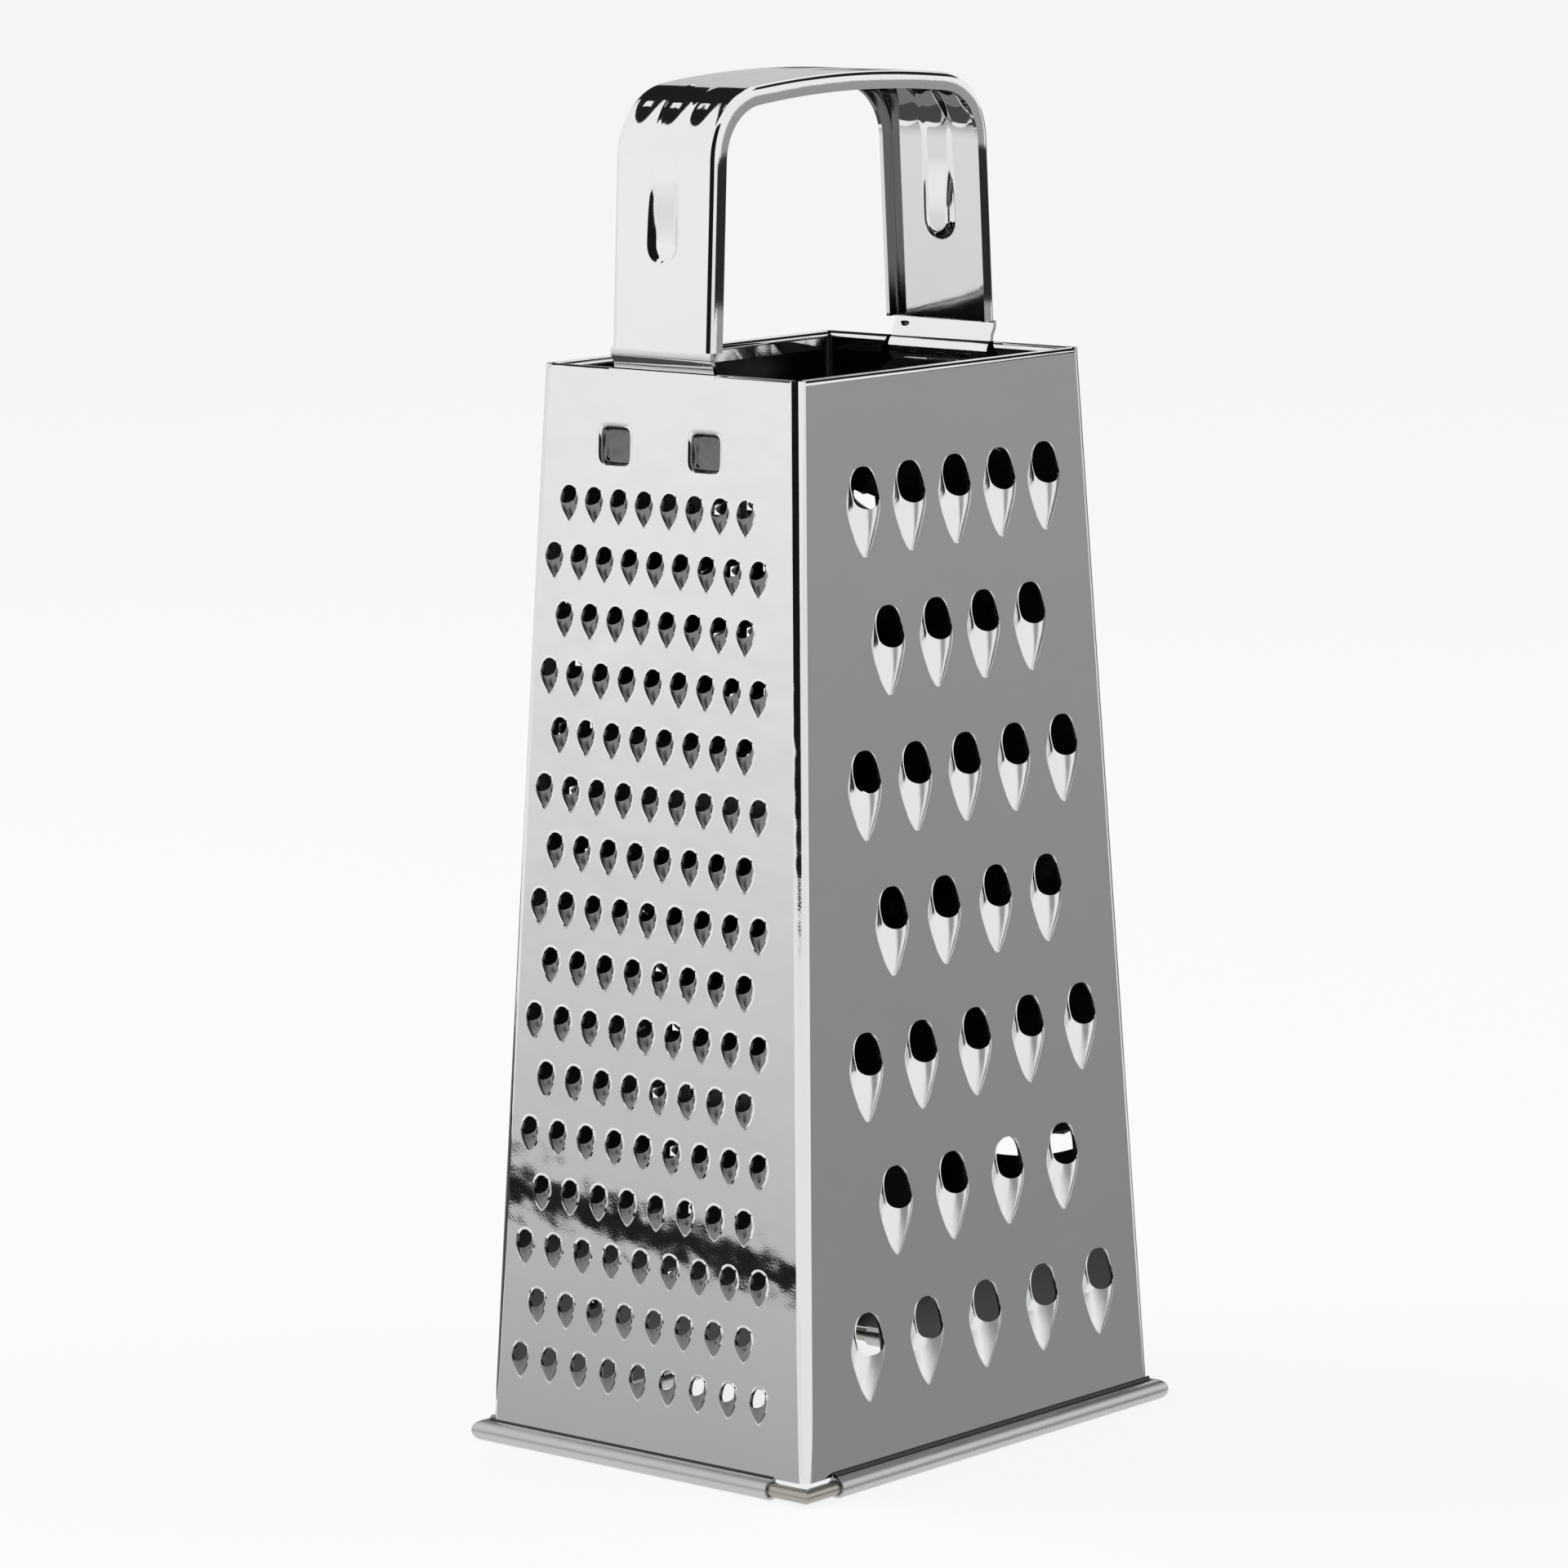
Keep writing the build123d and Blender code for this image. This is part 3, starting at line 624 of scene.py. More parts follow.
def other_forms(turn):
    """Slots and pressed squares of a narrow face."""
    placed = []
    if turn in NARROW:
        for side in (-1, 1):
            x = strap_across(turn) + side * POCKET_SPACING / 2
            placed.append((pocket, x, up_face(turn, BODY_HIGH) - POCKET_DROP))
    if turn == BACK:
        for high in SLOT_HEIGHTS:
            half = half_across(BACK, high) - BLADE_MARGIN
            placed.append((slot_stamp("slot", half), 0, up_face(BACK, high)))
    return gather("other_forms", placed)


# %% Punch the faces
SKIN, ROLLED, POCKET_SHADE, HOOD_SHADE, SOFT, CREASE = 0, 2, 4, 6, 8, 10
TEETH = {
    FRONT: {"Stamp": fine_tooth, "Rows": 16, "Columns": 9, "Short Row First": 1.0, "First Height": 166.9,
            "Row Pitch": 10.25, "Spread": 0.1916, "Offset": -2.0},
    RIGHT: {"Stamp": coarse_tooth, "Rows": 7, "Columns": 5, "First Height": 168.6, "Row Pitch": 24.5,
            "Margin": 15.0, "Spread": 0.5, "Offset": 1.9},
    BACK: {"Rows": 0, "Columns": 1},
    LEFT: {"Stamp": star_point, "Rows": 14, "Columns": 8, "First Height": 171.0, "Row Pitch": 11.8,
           "Margin": 9.0, "Spread": 2 / 7},
}
# The fine teeth's hoods get painted shade; the coarse teeth get a rougher bright finish.
FORMED = {FRONT: HOOD_SHADE, RIGHT: SOFT, BACK: SKIN, LEFT: SKIN}
FORMED_FROM = 0.12


def finish_of(turn, high):
    """Finish at a height above the flat sheet of a face."""
    # Faces sunk below the sheet, in the pressed squares, get painted shade.
    if high < -SHEET / 2:
        return POCKET_SHADE
    return FORMED[turn] if high > FORMED_FROM else SKIN


def punched_face(turn):
    """Skin of one face in metres, in its place on the body."""
    outline, others = face_outline(turn), other_forms(turn)
    base, top = half_across(turn, 0), half_across(turn, BODY_HIGH)
    values = {
        **TEETH[turn], "Face Outline": outline, "Other Forms": others, "Half Width Below": base,
        "Half Width Slope": (base - top) / BODY_HIGH, "Up Scale": up_face(turn, 1.0),
    }
    holder = add_object("punching", bpy.data.meshes.new("punching"))
    change = holder.modifiers.new("make", "NODES")
    change.node_group = PUNCHING
    for item in PUNCHING.interface.items_tree:
        if item.in_out == "INPUT" and item.name in values:
            change[item.identifier] = values[item.name]
    mesh = applied(holder)
    for face in mesh.polygons:
        face.material_index = finish_of(turn, face.center.z)
    mesh.transform(face_matrix(turn))
    for helper in (holder, outline, others):
        bpy.data.objects.remove(helper)
    return mesh


skins = {turn: punched_face(turn) for turn in (FRONT, RIGHT, BACK, LEFT)}
print("faces of each skin", {turn: len(skin.polygons) for turn, skin in skins.items()})

# %% [markdown]
# ## Bends, rim and seam
# The rest of a shell is ruled from end to end: a bend round each corner, a fold that
# turns the rim inward, and a flange that laps under the other shell at the seam. Each
# is made of bands between rows of points. The shell is then given its thickness
# inward, and its inside is painted near black as painted shade, and made rougher.

# %% Bands of a shell
CORNER_SIDES = {FRONT: (1, -1), RIGHT: (1, 1), BACK: (-1, 1), LEFT: (-1, -1)}


def bend_rows(turn, heights, steps=12):
    """Rows of the bend from one face to the next one round the body."""
    right, back = CORNER_SIDES[turn]
    rows = []
    for high in heights:
        x = right * (half_across(FRONT, high) - CORNER_R)
        y = back * (half_across(RIGHT, high) - CORNER_R)
        row = []
        for step in range(steps + 1):
            angle = radians(turn + 90 * step / steps)
            spot = x + CORNER_R * cos(angle), y + CORNER_R * sin(angle), CREASE_Z + high
            row.append(Vector(spot) * MM)
        rows.append(row)
    return rows


def fold_profile(steps=8):
    """Depth inward, drop below the rim and trim of the points over the folded rim."""
    points = []
    for step in range(steps + 1):
        angle = pi * (1 - step / steps)
        points.append((FOLD_R + FOLD_R * cos(angle), FOLD_R - FOLD_R * sin(angle)))
    points += [(2 * FOLD_R, FOLD_R + FOLD_DROP * share) for share in (0.15, 0.5, 1)]
    reach = FOLD_R + FOLD_DROP
    return [(deep, drop, FOLD_MITRE * drop / reach if deep > FOLD_R else 0) for deep, drop in points]


def fold_rows(turn, start, end):
    """Rows of the folded rim between two places across a face."""
    place, rim = face_matrix(turn), up_face(turn, BODY_HIGH)
    return [
        [place @ Vector((x + side * trim, rim - drop, -deep)) for deep, drop, trim in fold_profile()]
        for x, side in ((end, -1), (start, 1))
    ]


def fold_stretches(turn):
    high = BODY_HIGH - FOLD_R
    ends = flat_end(turn, -1, high), flat_end(turn, 1, high)
    if turn not in NARROW:
        return [ends]
    gap = STRAP_WIDE / 2 + STRAP_SIDE_GAP
    return [(ends[0], strap_across(turn) - gap), (strap_across(turn) + gap, ends[1])]


LAP_WIDE, LAP_CLEAR, LAP_DEEP = 8.0, 5.0, SHEET + 0.06
LAP_STEPS = ((CORNER_R * 0.6, 0.3), (CORNER_R, LAP_DEEP), (LAP_WIDE, LAP_DEEP))


def lap_rows(turn, end):
    """Rows of the flange that laps inside a rear face along its seam."""
    place = face_matrix(turn)
    rows = []
    for reach, deep in LAP_STEPS:
        row = []
        for high in (LAP_CLEAR, BODY_HIGH - LAP_CLEAR):
            across = end * (half_across(turn, high) - reach)
            row.append(place @ Vector((across, up_face(turn, high), -deep)))
        rows.append(row)
    return rows if end > 0 else rows[::-1]


# %% [markdown]
# ## The base hem
# Below the crease the sheet is rolled outward round the wire. The roll is a thick
# letter C, swept along each face. At two corners the rolls meet in a mitre, and at
# the other two they stop short and leave the wire bare.

# %% Rolled hem
HEM_OUT, BARE_WIRE, MITRE_GAP, HEM_STEPS = 0.6, 7.2, 0.15, 26
HEM_START, HEM_SWEEP = radians(98), radians(310)
SHADOWED_NECK_STEPS = (0, 1, 2, 3)
CREASE_RISE = {FRONT: 0.35, RIGHT: 0.85, BACK: 0.35, LEFT: 0.85}


def hem_section(rise):
    """Closed outline of the roll as (out, up) from the crease, wall and lip included."""
    outer, inner = [], []
    for step in range(HEM_STEPS + 1):
        angle = HEM_START - HEM_SWEEP * step / HEM_STEPS
        for side, radius in ((outer, ROLL_R), (inner, ROLL_R - SHEET)):
            side.append((HEM_OUT + radius * cos(angle), -ROLL_R + radius * sin(angle)))
    neck = [(0.0, rise), (0.03, rise / 2), (0.12, rise * 0.15), (0.3, -0.03)]
    inside = [(-SHEET, -0.75), (-SHEET, 0.25)]
    flat = [(out, max(up, -CREASE_Z)) for out, up in outer]
    return neck + flat + inner[::-1] + inside


def hem_mesh(turn):
    """Roll along one face: mitred at one end, cut square at the other."""
    half = half_across(turn, 0)
    mitred = -1 if turn in NARROW else 1
    place = face_matrix(turn)
    rings = []
    for side in (-1, 1):
        ring = []
        for out, up in hem_section(CREASE_RISE[turn]):
            across = half - MITRE_GAP + out if side == mitred else half - BARE_WIRE
            ring.append(place @ Vector((side * across, up, out)))
        rings.append(ring)
    work = bmesh.new()
    first, last = bands(work, rings, ring=True)
    caps = [work.faces.new(first), work.faces.new(last[::-1])]
    work.faces.ensure_lookup_table()
    for face in work.faces:
        face.smooth, face.material_index = True, ROLLED
    # The first faces of the section, at the neck by the crease, get the painted shadow.
    for here in SHADOWED_NECK_STEPS:
        work.faces[here].material_index = CREASE
    bmesh.ops.triangulate(work, faces=caps)
    bmesh.ops.recalc_face_normals(work, faces=work.faces)
    return mesh_of(work, "hem")


# %% Put each shell together
hem_sheet = steel("hem_sheet", Tint=(0.56, 0.57, 0.57, 1), Gloss=0.33, Grain_Height=0.006, Wave_Height=0.1)
# Painted shadow: the neck of the hem at the crease is tinted near black.
crease_shadow_sheet = steel("crease_shadow_sheet", Tint=(0.06, 0.06, 0.06, 1), Gloss=0.3)
# Painted shade in the pressed squares: the steel where the pockets sink below the sheet is tinted dark.
pocket_shade_sheet = steel(
    "pocket_shade_sheet", Tint=(0.16, 0.16, 0.16, 1), Gloss=0.14, Wave_Height=0.3, Wave_Scale=300.0
)
# Painted shade on the hoods of the fine teeth, which are the same bright steel, tinted dark.
hood_shade_sheet = steel("hood_shade_sheet", Tint=(0.22, 0.22, 0.22, 1), Gloss=0.13, Wave_Height=0.0)
soft_sheet = steel("soft_sheet", Tint=(0.83, 0.84, 0.85, 1), Gloss=0.13, Wave_Height=0.0)
TORN_THIN = 0.8


def make_shell(node, turns, bends, laps):
    """One L-shaped shell as one piece, in place of the model's node."""
    work = bmesh.new()
    for turn in turns:
        work.from_mesh(skins[turn])
        for start, end in fold_stretches(turn):
            bands(work, fold_rows(turn, start, end))
    low = BODY_HIGH - FOLD_R
    for turn in bends:
        bands(work, bend_rows(turn, (0, low, BODY_HIGH - RIM_DROP)))
    for turn, end in laps:
        bands(work, lap_rows(turn, end))
    bmesh.ops.remove_doubles(work, verts=work.verts, dist=WELD * MM)
    mesh = mesh_of(work, node + "_sheet")
    for finish in (bright_sheet, hem_sheet, pocket_shade_sheet, hood_shade_sheet, soft_sheet, crease_shadow_sheet):
        mesh.materials.append(finish)
        mesh.materials.append(inside_shade_sheet)
    body = add_object(node + "_sheet", mesh)
    mesh.set_sharp_from_angle(angle=SHARP_ANGLE)
    wall = body.vertex_groups.new(name="wall")
    for point, torn in zip(mesh.vertices, mesh.attributes["torn"].data):
        wall.add([point.index], 1 - TORN_THIN * min(torn.value, 1), "REPLACE")
    solid = thicken(body, SHEET, vertex_group=wall.name, material_offset=1)
    whole = bmesh.new()
    whole.from_mesh(solid)
    for turn in turns:
        whole.from_mesh(hem_mesh(turn))
    whole.to_mesh(solid)
    whole.free()
    shade(solid)
    body.data = solid
    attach(body, "root")
    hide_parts(node)
    print(node, "faces", len(solid.polygons))


make_shell("front_shell", (FRONT, RIGHT), (LEFT, FRONT, RIGHT), ((LEFT, 1), (BACK, -1)))
make_shell("rear_shell", (BACK, LEFT), (BACK,), ())

# %% [markdown]
# ## Strap and wire
# The strap is one strip with turned-down edges. Its path runs from the back rim up
# one leg, over the crowned grip and down the other. Its section is swept along it and
# pushed in where the long rib lies, deepest at the rib's two ends. The wire is one
# closed loop that keeps the model's own shape.

# %% Path of the strap
STRAP_T, FLANGE_DEEP, STRAP_R, LEG_OUT, LEG_START = 0.8, 3.2, 1.2, 0.4, 3.6
GRIP_RISE, GRIP_CROWN, BEND_R, CROWN_R = 49.2, 0.9, 13.0, 250.0
FINE_FROM, FINE_TO, FINE_STEP, PLAIN_STEP, BEND_STEPS, CROWN_STEPS = 14, 36, 0.45, 1.3, 24, 20
WRINKLE_DROP = 6


def leg_spot(up, inset):
    """Point of the back leg, as (y, z) in millimetres, at a distance above the rim."""
    spot = face_matrix(BACK) @ Vector((0, up_face(BACK, BODY_HIGH) + up, LEG_OUT - inset))
    return spot.y / MM, spot.z / MM


def strap_path():
    """Half the path, from the back rim to the crown: y, z, angle of its normal, distance."""
    (y0, z0), (y1, z1) = leg_spot(LEG_START, BEND_R), leg_spot(BEND_R, BEND_R)
    run = hypot(y1 - y0, z1 - z0)
    way_y, way_z = (y1 - y0) / run, (z1 - z0) / run
    centre_z = CREASE_Z + BODY_HIGH + GRIP_RISE + GRIP_CROWN - CROWN_R
    far_z = z0 - centre_z
    half_b = y0 * way_y + far_z * way_z
    travel = sqrt(half_b ** 2 - y0 ** 2 - far_z ** 2 + (CROWN_R - BEND_R) ** 2) - half_b
    bend_y, bend_z = y0 + travel * way_y, z0 + travel * way_z
    lean = atan2(lean_in(BACK), BODY_HIGH)
    steep = atan2(bend_z - centre_z, bend_y)
    path, up = [], LEG_START
    while up < LEG_START + travel:
        path.append((*leg_spot(up, 0), lean, up))
        up += FINE_STEP if FINE_FROM < up < FINE_TO else PLAIN_STEP
    far = LEG_START + travel
    for step in range(BEND_STEPS + 1):
        angle = lean + (steep - lean) * step / BEND_STEPS
        spot = bend_y + BEND_R * cos(angle), bend_z + BEND_R * sin(angle)
        path.append((*spot, angle, far + BEND_R * (angle - lean)))
    far += BEND_R * (steep - lean)
    for step in range(1, CROWN_STEPS + 1):
        angle = steep + (pi / 2 - steep) * step / CROWN_STEPS
        spot = CROWN_R * cos(angle), centre_z + CROWN_R * sin(angle)
        path.append((*spot, angle, far + CROWN_R * (angle - steep)))
    return path


half_path = strap_path()
BEND_UP = next(up for _, z, _, up in half_path if z > half_path[-1][1] - WRINKLE_DROP)
print("strap path of", len(half_path), "points,", round(half_path[-1][3], 1), "mm long on each side")

# %% Section and rib of the strap
RIB_START, RIB_HALF, RIB_SLOPE, RIB_SHALLOW, RIB_DEEP = 18.0, 3.6, 1.5, 0.14, 0.75
FADE_LOW, FADE_HIGH, WEB_STEP = 22.0, 33.0, 0.4
WRINKLE_DEEP, WRINKLE_WAVE, WRINKLE_LONG, WRINKLE_PHASE = 0.07, 6.4, 9.0, 1.0


def ease(share):
    share = min(max(share, 0), 1)
    return share * share * (3 - 2 * share)


def rib_inset(across, up):
    """How far the rib and the wrinkles at the bend push the strap in."""
    below = max(RIB_START + RIB_HALF - up, 0)
    edge = ease((RIB_HALF - hypot(across, below)) / RIB_SLOPE)
    deep = RIB_SHALLOW + (RIB_DEEP - RIB_SHALLOW) * ease((FADE_HIGH - up) / (FADE_HIGH - FADE_LOW))
    near = ease(1 - abs(up - BEND_UP) / WRINKLE_LONG)
    wave = sin(2 * pi * across / WRINKLE_WAVE + WRINKLE_PHASE)
    return edge * deep + WRINKLE_DEEP * near * wave


def web_columns():
    flat = STRAP_WIDE / 2 - STRAP_R
    count = round(2 * flat / WEB_STEP)
    return [-flat + 2 * flat * here / count for here in range(count + 1)]


def strap_section():
    """Outer skin of the section, from one edge to the other: across, inset."""
    half, steps = STRAP_WIDE / 2, 8
    left = [(-half, FLANGE_DEEP), (-half, (FLANGE_DEEP + STRAP_R) / 2)]
    for step in range(steps):
        angle = pi / 2 * step / steps
        left.append((-half + STRAP_R - STRAP_R * cos(angle), STRAP_R - STRAP_R * sin(angle)))
    right = [(-across, inset) for across, inset in left[::-1]]
    return left + [(across, 0) for across in web_columns()] + right


def strap_rows():
    """Rows of the swept skin in metres, from the back rim over the grip to the front rim."""
    rows = []
    for side, half in ((1, half_path), (-1, half_path[-2::-1])):
        for y, z, angle, up in half:
            row = []
            for across, inset in strap_section():
                push = inset + rib_inset(across, up)
                deep, low = push * cos(angle), push * sin(angle)
                row.append(Vector((across - STRAP_OFFSET, side * (y - deep), z - low)) * MM)
            rows.append(row)
    return rows


print("section of", len(strap_section()), "points")

# %% Feet of the strap
FOOT_SEAT, FOOT_HALF, FOOT_LONG, BEAD_IN = 0.55, 15.0, 20.0, 1.85
FOOT_TOP, FOOT_SHOULDER, FOOT_CORNER, FOOT_CUT = 4.3, 6.6, 2.0, 0.6
# Height from the rim and depth behind the face, down through joggle and bead.
NECK_STEPS = (
    (LEG_START, -LEG_OUT), (2.5, -LEG_OUT), (2.1, -0.25), (1.5, 0.1), (0.9, 0.48), (0.4, FOOT_SEAT),
    (-0.1, 0.68), (-0.6, 1.1), (-1.2, 1.65), (-1.6, BEAD_IN), (-2.6, BEAD_IN), (-3.1, 1.6),
    (-3.7, 0.9), (-4.1, FOOT_SEAT), (-FOOT_TOP, FOOT_SEAT),
)
# Half width, corner radius and level of the loops of a foot's pressed square.
FOOT_POCKET = (
    (4.05, 1.9, -FOOT_SEAT), (3.8, 1.7, -1.0), (3.62, 1.6, -1.5), (3.45, 1.5, -1.76), (3.1, 1.3, -1.81),
)


def foot_columns():
    return [-STRAP_WIDE / 2] + web_columns() + [STRAP_WIDE / 2]


def foot_spot(turn, across, up, deep):
    """Point in metres, counted from where the middle of a foot crosses the rim."""
    return face_matrix(turn) @ Vector((strap_across(turn) + across, up_face(turn, BODY_HIGH) + up, -deep))


def neck_rows(turn):
    """Rows from the leg down to the foot, in metres."""
    return [[foot_spot(turn, across, up, deep) for across in foot_columns()] for up, deep in NECK_STEPS]


def foot_plate(work, turn):
    """Wide plate with its two pressed squares."""
    half, low = FOOT_HALF, -FOOT_LONG
    outline = [(across, -FOOT_TOP) for across in foot_columns()]
    corner = [(half, -FOOT_SHOULDER), (half, low + FOOT_CORNER), (half - FOOT_CUT, low + FOOT_CUT)]
    corner.append((half - FOOT_CORNER, low))
    outline += corner + [(-x, y) for x, y in corner[::-1]]
    loops = [[foot_spot(turn, x, y, FOOT_SEAT) for x, y in outline]]
    for middle in (-POCKET_SPACING / 2, POCKET_SPACING / 2):
        rings = [
            [foot_spot(turn, middle + x, y - POCKET_DROP, -level) for x, y, level in rounded_square(*step)]
            for step in FOOT_POCKET
        ]
        loops.append(rings[0])
        bands(work, [ring + ring[:1] for ring in rings])
        work.faces.new([work.verts.new(spot) for spot in rings[-1]])
    edges = []
    for loop in loops:
        made = [work.verts.new(spot) for spot in loop]
        edges += [work.edges.new((made[here - 1], made[here])) for here in range(len(made))]
    bmesh.ops.triangle_fill(work, edges=edges, use_beauty=True)


def make_strap():
    work = bmesh.new()
    bands(work, strap_rows())
    for turn in NARROW:
        bands(work, neck_rows(turn))
        foot_plate(work, turn)
    bmesh.ops.remove_doubles(work, verts=work.verts, dist=WELD * MM)
    bmesh.ops.recalc_face_normals(work, faces=work.faces)
    crown = max(work.faces, key=lambda face: face.calc_center_median().z)
    if crown.normal.z < 0:
        bmesh.ops.reverse_faces(work, faces=work.faces)
    mesh = mesh_of(work, "handle_strap")
    mesh.materials.append(strap_steel)
    strap = add_object("handle_strap", mesh)
    solid = thicken(strap, STRAP_T)
    shade(solid)
    solid.materials.append(strap_flange_shade)
    # The inner faces of the flanges get the dark painted shade.
    for face in solid.polygons:
        across = face.center.x / MM + STRAP_OFFSET
        if abs(across) > STRAP_WIDE / 2 - 2 * STRAP_T and across * face.normal.x < -STRAP_T:
            face.material_index = 1
    strap.data = solid
    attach(strap, "root")
    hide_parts("handle")
    print("strap faces", len(solid.polygons))


make_strap()

# %% Finish the wire
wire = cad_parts["base_wire"]
wire.data.materials.clear()
wire.data.materials.append(wire_steel)
print("kept base_wire, faces", len(wire.data.polygons))

# %% [markdown]
# ## Floor and light
# Stainless sheet shows its surroundings, so the surroundings are the picture. The
# world is white, and cards that show only in reflections stand or lie where the sheet
# mirrors them. A glossy floor looks grey to the flat rays off the faces and pale to the
# steep rays off the teeth. Low slats on a sheet do the same here.

# %% Floor and world
def seen_rays(tree):
    """One for rays from the camera and off glossy surfaces, zero for the rest."""
    path = tree.nodes.new("ShaderNodeLightPath").outputs
    return math_node(tree, "MAXIMUM", path["Is Camera Ray"], path["Is Glossy Ray"])


def stage_material(name, color, glow):
    """Plain matt surface that shows pale in view and in reflections."""
    material, tree, shader = new_material(name)
    for title, value in {"Base Color": color, "Roughness": 0.9, "Specular IOR Level": 0.0}.items():
        shader.inputs[title].default_value = value
    white = add_node(tree, "ShaderNodeEmission", {"Color": (1, 1, 1, 1), "Strength": 1.0})
    mix = add_node(tree, "ShaderNodeMixShader", {"Fac": math_node(tree, "MULTIPLY", seen_rays(tree), glow)})
    tree.links.new(shader.outputs[0], mix.inputs[1])
    tree.links.new(white.outputs[0], mix.inputs[2])
    tree.links.new(mix.outputs[0], tree.nodes["Material Output"].inputs["Surface"])
    return material


def plane(name, corners, material):
    mesh = bpy.data.meshes.new(name)
    mesh.from_pydata(corners, [], [(0, 1, 2, 3)])
    mesh.materials.append(material)
    return add_object(name, mesh)


FLOOR_HALF, FLOOR_GLOW = 12.0, 0.84
floor = plane(
    "floor",
    [(x * FLOOR_HALF, y * FLOOR_HALF, 0) for x, y in ((-1, -1), (1, -1), (1, 1), (-1, 1))],
    stage_material("floor_white", (0.9, 0.9, 0.9, 1), FLOOR_GLOW),
)

WORLD_FILL = 0.5
world = bpy.data.worlds.new("studio")
bpy.context.scene.world = world
world.use_nodes = True
tree = world.node_tree
glow = math_node(tree, "MULTIPLY", seen_rays(tree), 1 - WORLD_FILL)
glow = math_node(tree, "ADD", glow, WORLD_FILL)
background = tree.nodes["Background"]
background.inputs["Color"].default_value = (1, 1, 1, 1)
tree.links.new(glow, background.inputs["Strength"])


# %% Lamps and flags
LAMP_AIM = Vector((0, 0, 0.1))


def lamp(name, turn, up, far, size, power, tint=(1, 1, 1)):
    """Soft square lamp that looks at the middle of the object."""
    way = toward(turn, up)
    light = bpy.data.lights.new(name, "AREA")
    light.shape, light.size, light.energy, light.color = "SQUARE", size, power, tint
    thing = add_object(name, light)
    thing.location = LAMP_AIM + way * far
    thing.rotation_euler = (-way).to_track_quat("-Z", "Y").to_euler()
    thing.visible_glossy = False


lamp("key", -60, 50, 1.5, 0.9, 9)
lamp("fill", 130, 40, 1.6, 1.0, 5)


def flag_material(name, level):
    material, tree, _ = new_material(name)
    glow = add_node(tree, "ShaderNodeEmission", {"Color": (level, level, level, 1), "Strength": 1.0})
    tree.links.new(glow.outputs[0], tree.nodes["Material Output"].inputs["Surface"])
    return material


def mirror_only(card):
    """Keep a card out of everything but reflections."""
    card.visible_camera = card.visible_diffuse = card.visible_shadow = False


def flag(name, corners, level):
    mirror_only(plane(name, corners, flag_material(name, level)))


def upright_flag(name, turn, far, wide, low, high, level):
    """Card that faces the object."""
    middle, side = toward(turn) * far, toward(turn + 90) * (wide / 2)
    left, right = middle - side, middle + side
    ends = ((left, low), (right, low), (right, high), (left, high))
    flag(name, [(end.x, end.y, z) for end, z in ends], level)


SLAT_SLOPE, SLAT_PITCH, SLAT_GROWTH = 0.32, 1.2, 0.006


def card_row(rows, y):
    """Left end, right end, level of the slats and level of the sheet at a place along a card."""
    for near, far in zip(rows, rows[1:]):
        share = (y - near[0]) / (far[0] - near[0])
        if share <= 1:
            break
    return [a + (b - a) * share for a, b in zip(near[1:], far[1:])]


def slatted_card(name, rows):
    """Sheet on the floor with low upright slats: flat rays meet the slats, steep rays reach the sheet."""
    points, levels, faces = [], [], []
    for y, left, right, _, sheet in rows:
        points += [(x * MM, y * MM, MM) for x in (left, right)]
        levels += [sheet, sheet, sheet, 1.0] * 2
    for here in range(0, len(points) - 2, 2):
        faces.append((here, here + 1, here + 3, here + 2))
    y, last = rows[0][0], rows[-1][0]
    way = copysign(1, last - y)
    while (last - y) * way > 0:
        left, right, slat, _ = card_row(rows, y)
        pitch = max(SLAT_PITCH, SLAT_GROWTH * abs(y))
        here = len(points)
        for high in (0, SLAT_SLOPE * pitch):
            points += [(x * MM, y * MM, (1 + high) * MM) for x in (left, right)]
        levels += [slat, slat, slat, 1.0] * 4
        faces.append((here, here + 1, here + 3, here + 2))
        y += way * pitch
    mesh = bpy.data.meshes.new(name)
    mesh.from_pydata(points, [], faces)
    mesh.color_attributes.new("glow", "FLOAT_COLOR", "POINT").data.foreach_set("color", levels)
    material = flag_material(name, 1.0)
    tree = material.node_tree
    shade = add_node(tree, "ShaderNodeVertexColor", layer_name="glow")
    tree.links.new(shade.outputs["Color"], tree.nodes["Emission"].inputs["Color"])
    mesh.materials.append(material)
    mirror_only(add_object(name, mesh))


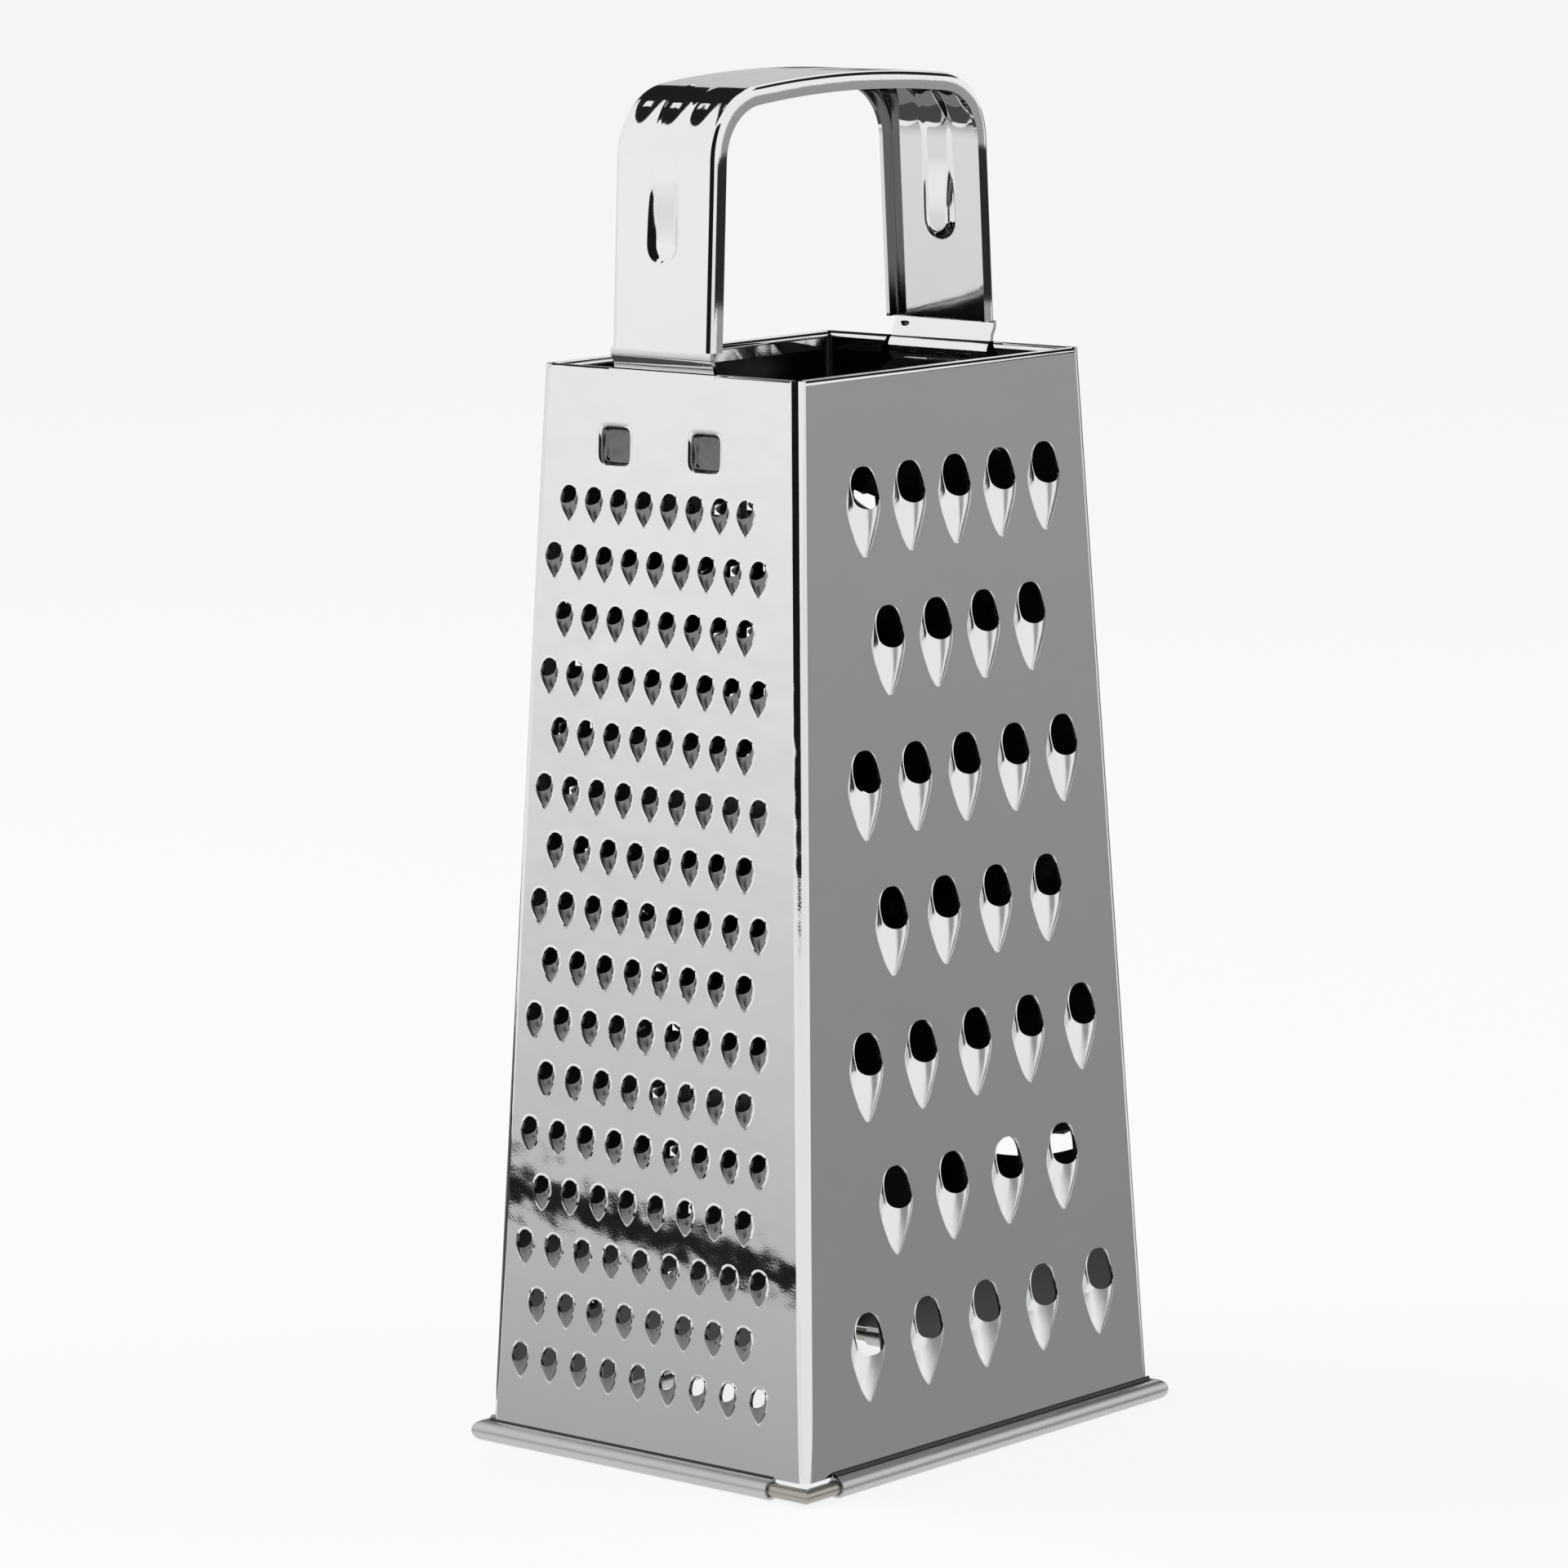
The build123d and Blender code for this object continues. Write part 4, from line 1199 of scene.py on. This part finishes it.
# Each row is a place along y, the left and right ends, the slats' level and the sheet's.
slatted_card("front_floor", [
    (-53, -62, 38, 0.46, 1.0), (-85, -95, 20, 0.48, 1.0), (-140, -150, -15, 0.52, 0.4),
    (-291, -300, -130, 0.60, 0.3), (-573, -600, -340, 0.70, 0.4), (-970, -1000, -640, 0.80, 0.8),
    (-2040, -2100, -1440, 0.92, 1.0), (-5088, -5200, -3900, 0.98, 1.0), (-11900, -11900, -8500, 0.98, 1.0),
])
slatted_card("right_floor", [
    (-60, 40, 41, 0.29, 1.0), (50, 40, 130, 0.29, 1.0), (90, 60, 160, 0.29, 1.0), (128, 85, 190, 0.29, 1.0),
    (178, 120, 240, 0.29, 1.0), (360, 240, 420, 0.30, 1.0), (830, 560, 900, 0.32, 1.0),
    (1560, 1050, 1600, 0.34, 1.0), (2950, 2000, 3000, 0.35, 1.0), (9000, 6100, 9000, 0.35, 1.0),
])
flag("band", [
    (-0.30, -0.287, 0.002), (-0.06, -0.198, 0.002), (-0.095, -0.235, 0.002), (-0.36, -0.351, 0.002),
], 0.01)
slatted_card("hood_floor", [
    (-60, -600, -75, 0.07, 0.07), (-140, -600, -165, 0.07, 0.07), (-290, -700, -310, 0.07, 0.07),
])
flag("dark_left", [
    (-0.8, -0.06, 0.001), (-0.07, -0.06, 0.001), (-0.07, 0.9, 0.001), (-0.8, 0.9, 0.001),
], 0.20)
slatted_card("near_corner_floor", [
    (-75, 30, 50, 0.9, 0.02), (-140, -5, 75, 0.9, 0.02), (-300, -110, 110, 0.9, 0.02),
])
slatted_card("rear_floor", [
    (60, -70, 46, 0.28, 0.28), (300, -70, 100, 0.28, 0.28), (900, -70, 250, 0.3, 0.3),
])
# Turn, distance, width, bottom, top and level of each upright card.
for card, sizes in {
    "grey_side": (178, 0.45, 0.30, 0.0, 0.26, 0.20),
    "dark_room": (14, 2.2, 3.3, 0.0, 3.0, 0.01),
    "low_dark_card": (229, 0.50, 0.40, 0.0, 0.26, 0.14),
    "leg_card": (130, 0.13, 0.20, 0.192, 0.222, 0.02),
    "high_left_card": (-83, 1.2, 1.7, 1.45, 2.60, 0.015),
    "high_far_card": (-120, 1.2, 0.7, 0.75, 2.20, 0.015),
    "glint_card": (-88, 1.15, 0.30, 1.68, 1.80, 1.0),
    "grey_backdrop": (220, 2.5, 1.6, 0.27, 1.3, 0.6),
    "high_rear_card": (169, 1.2, 0.9, 0.7, 1.7, 0.015),
}.items():
    upright_flag(card, *sizes)
print("floor, world, two lamps and sixteen cards")


bpy.context.scene.view_settings.view_transform = "Standard"
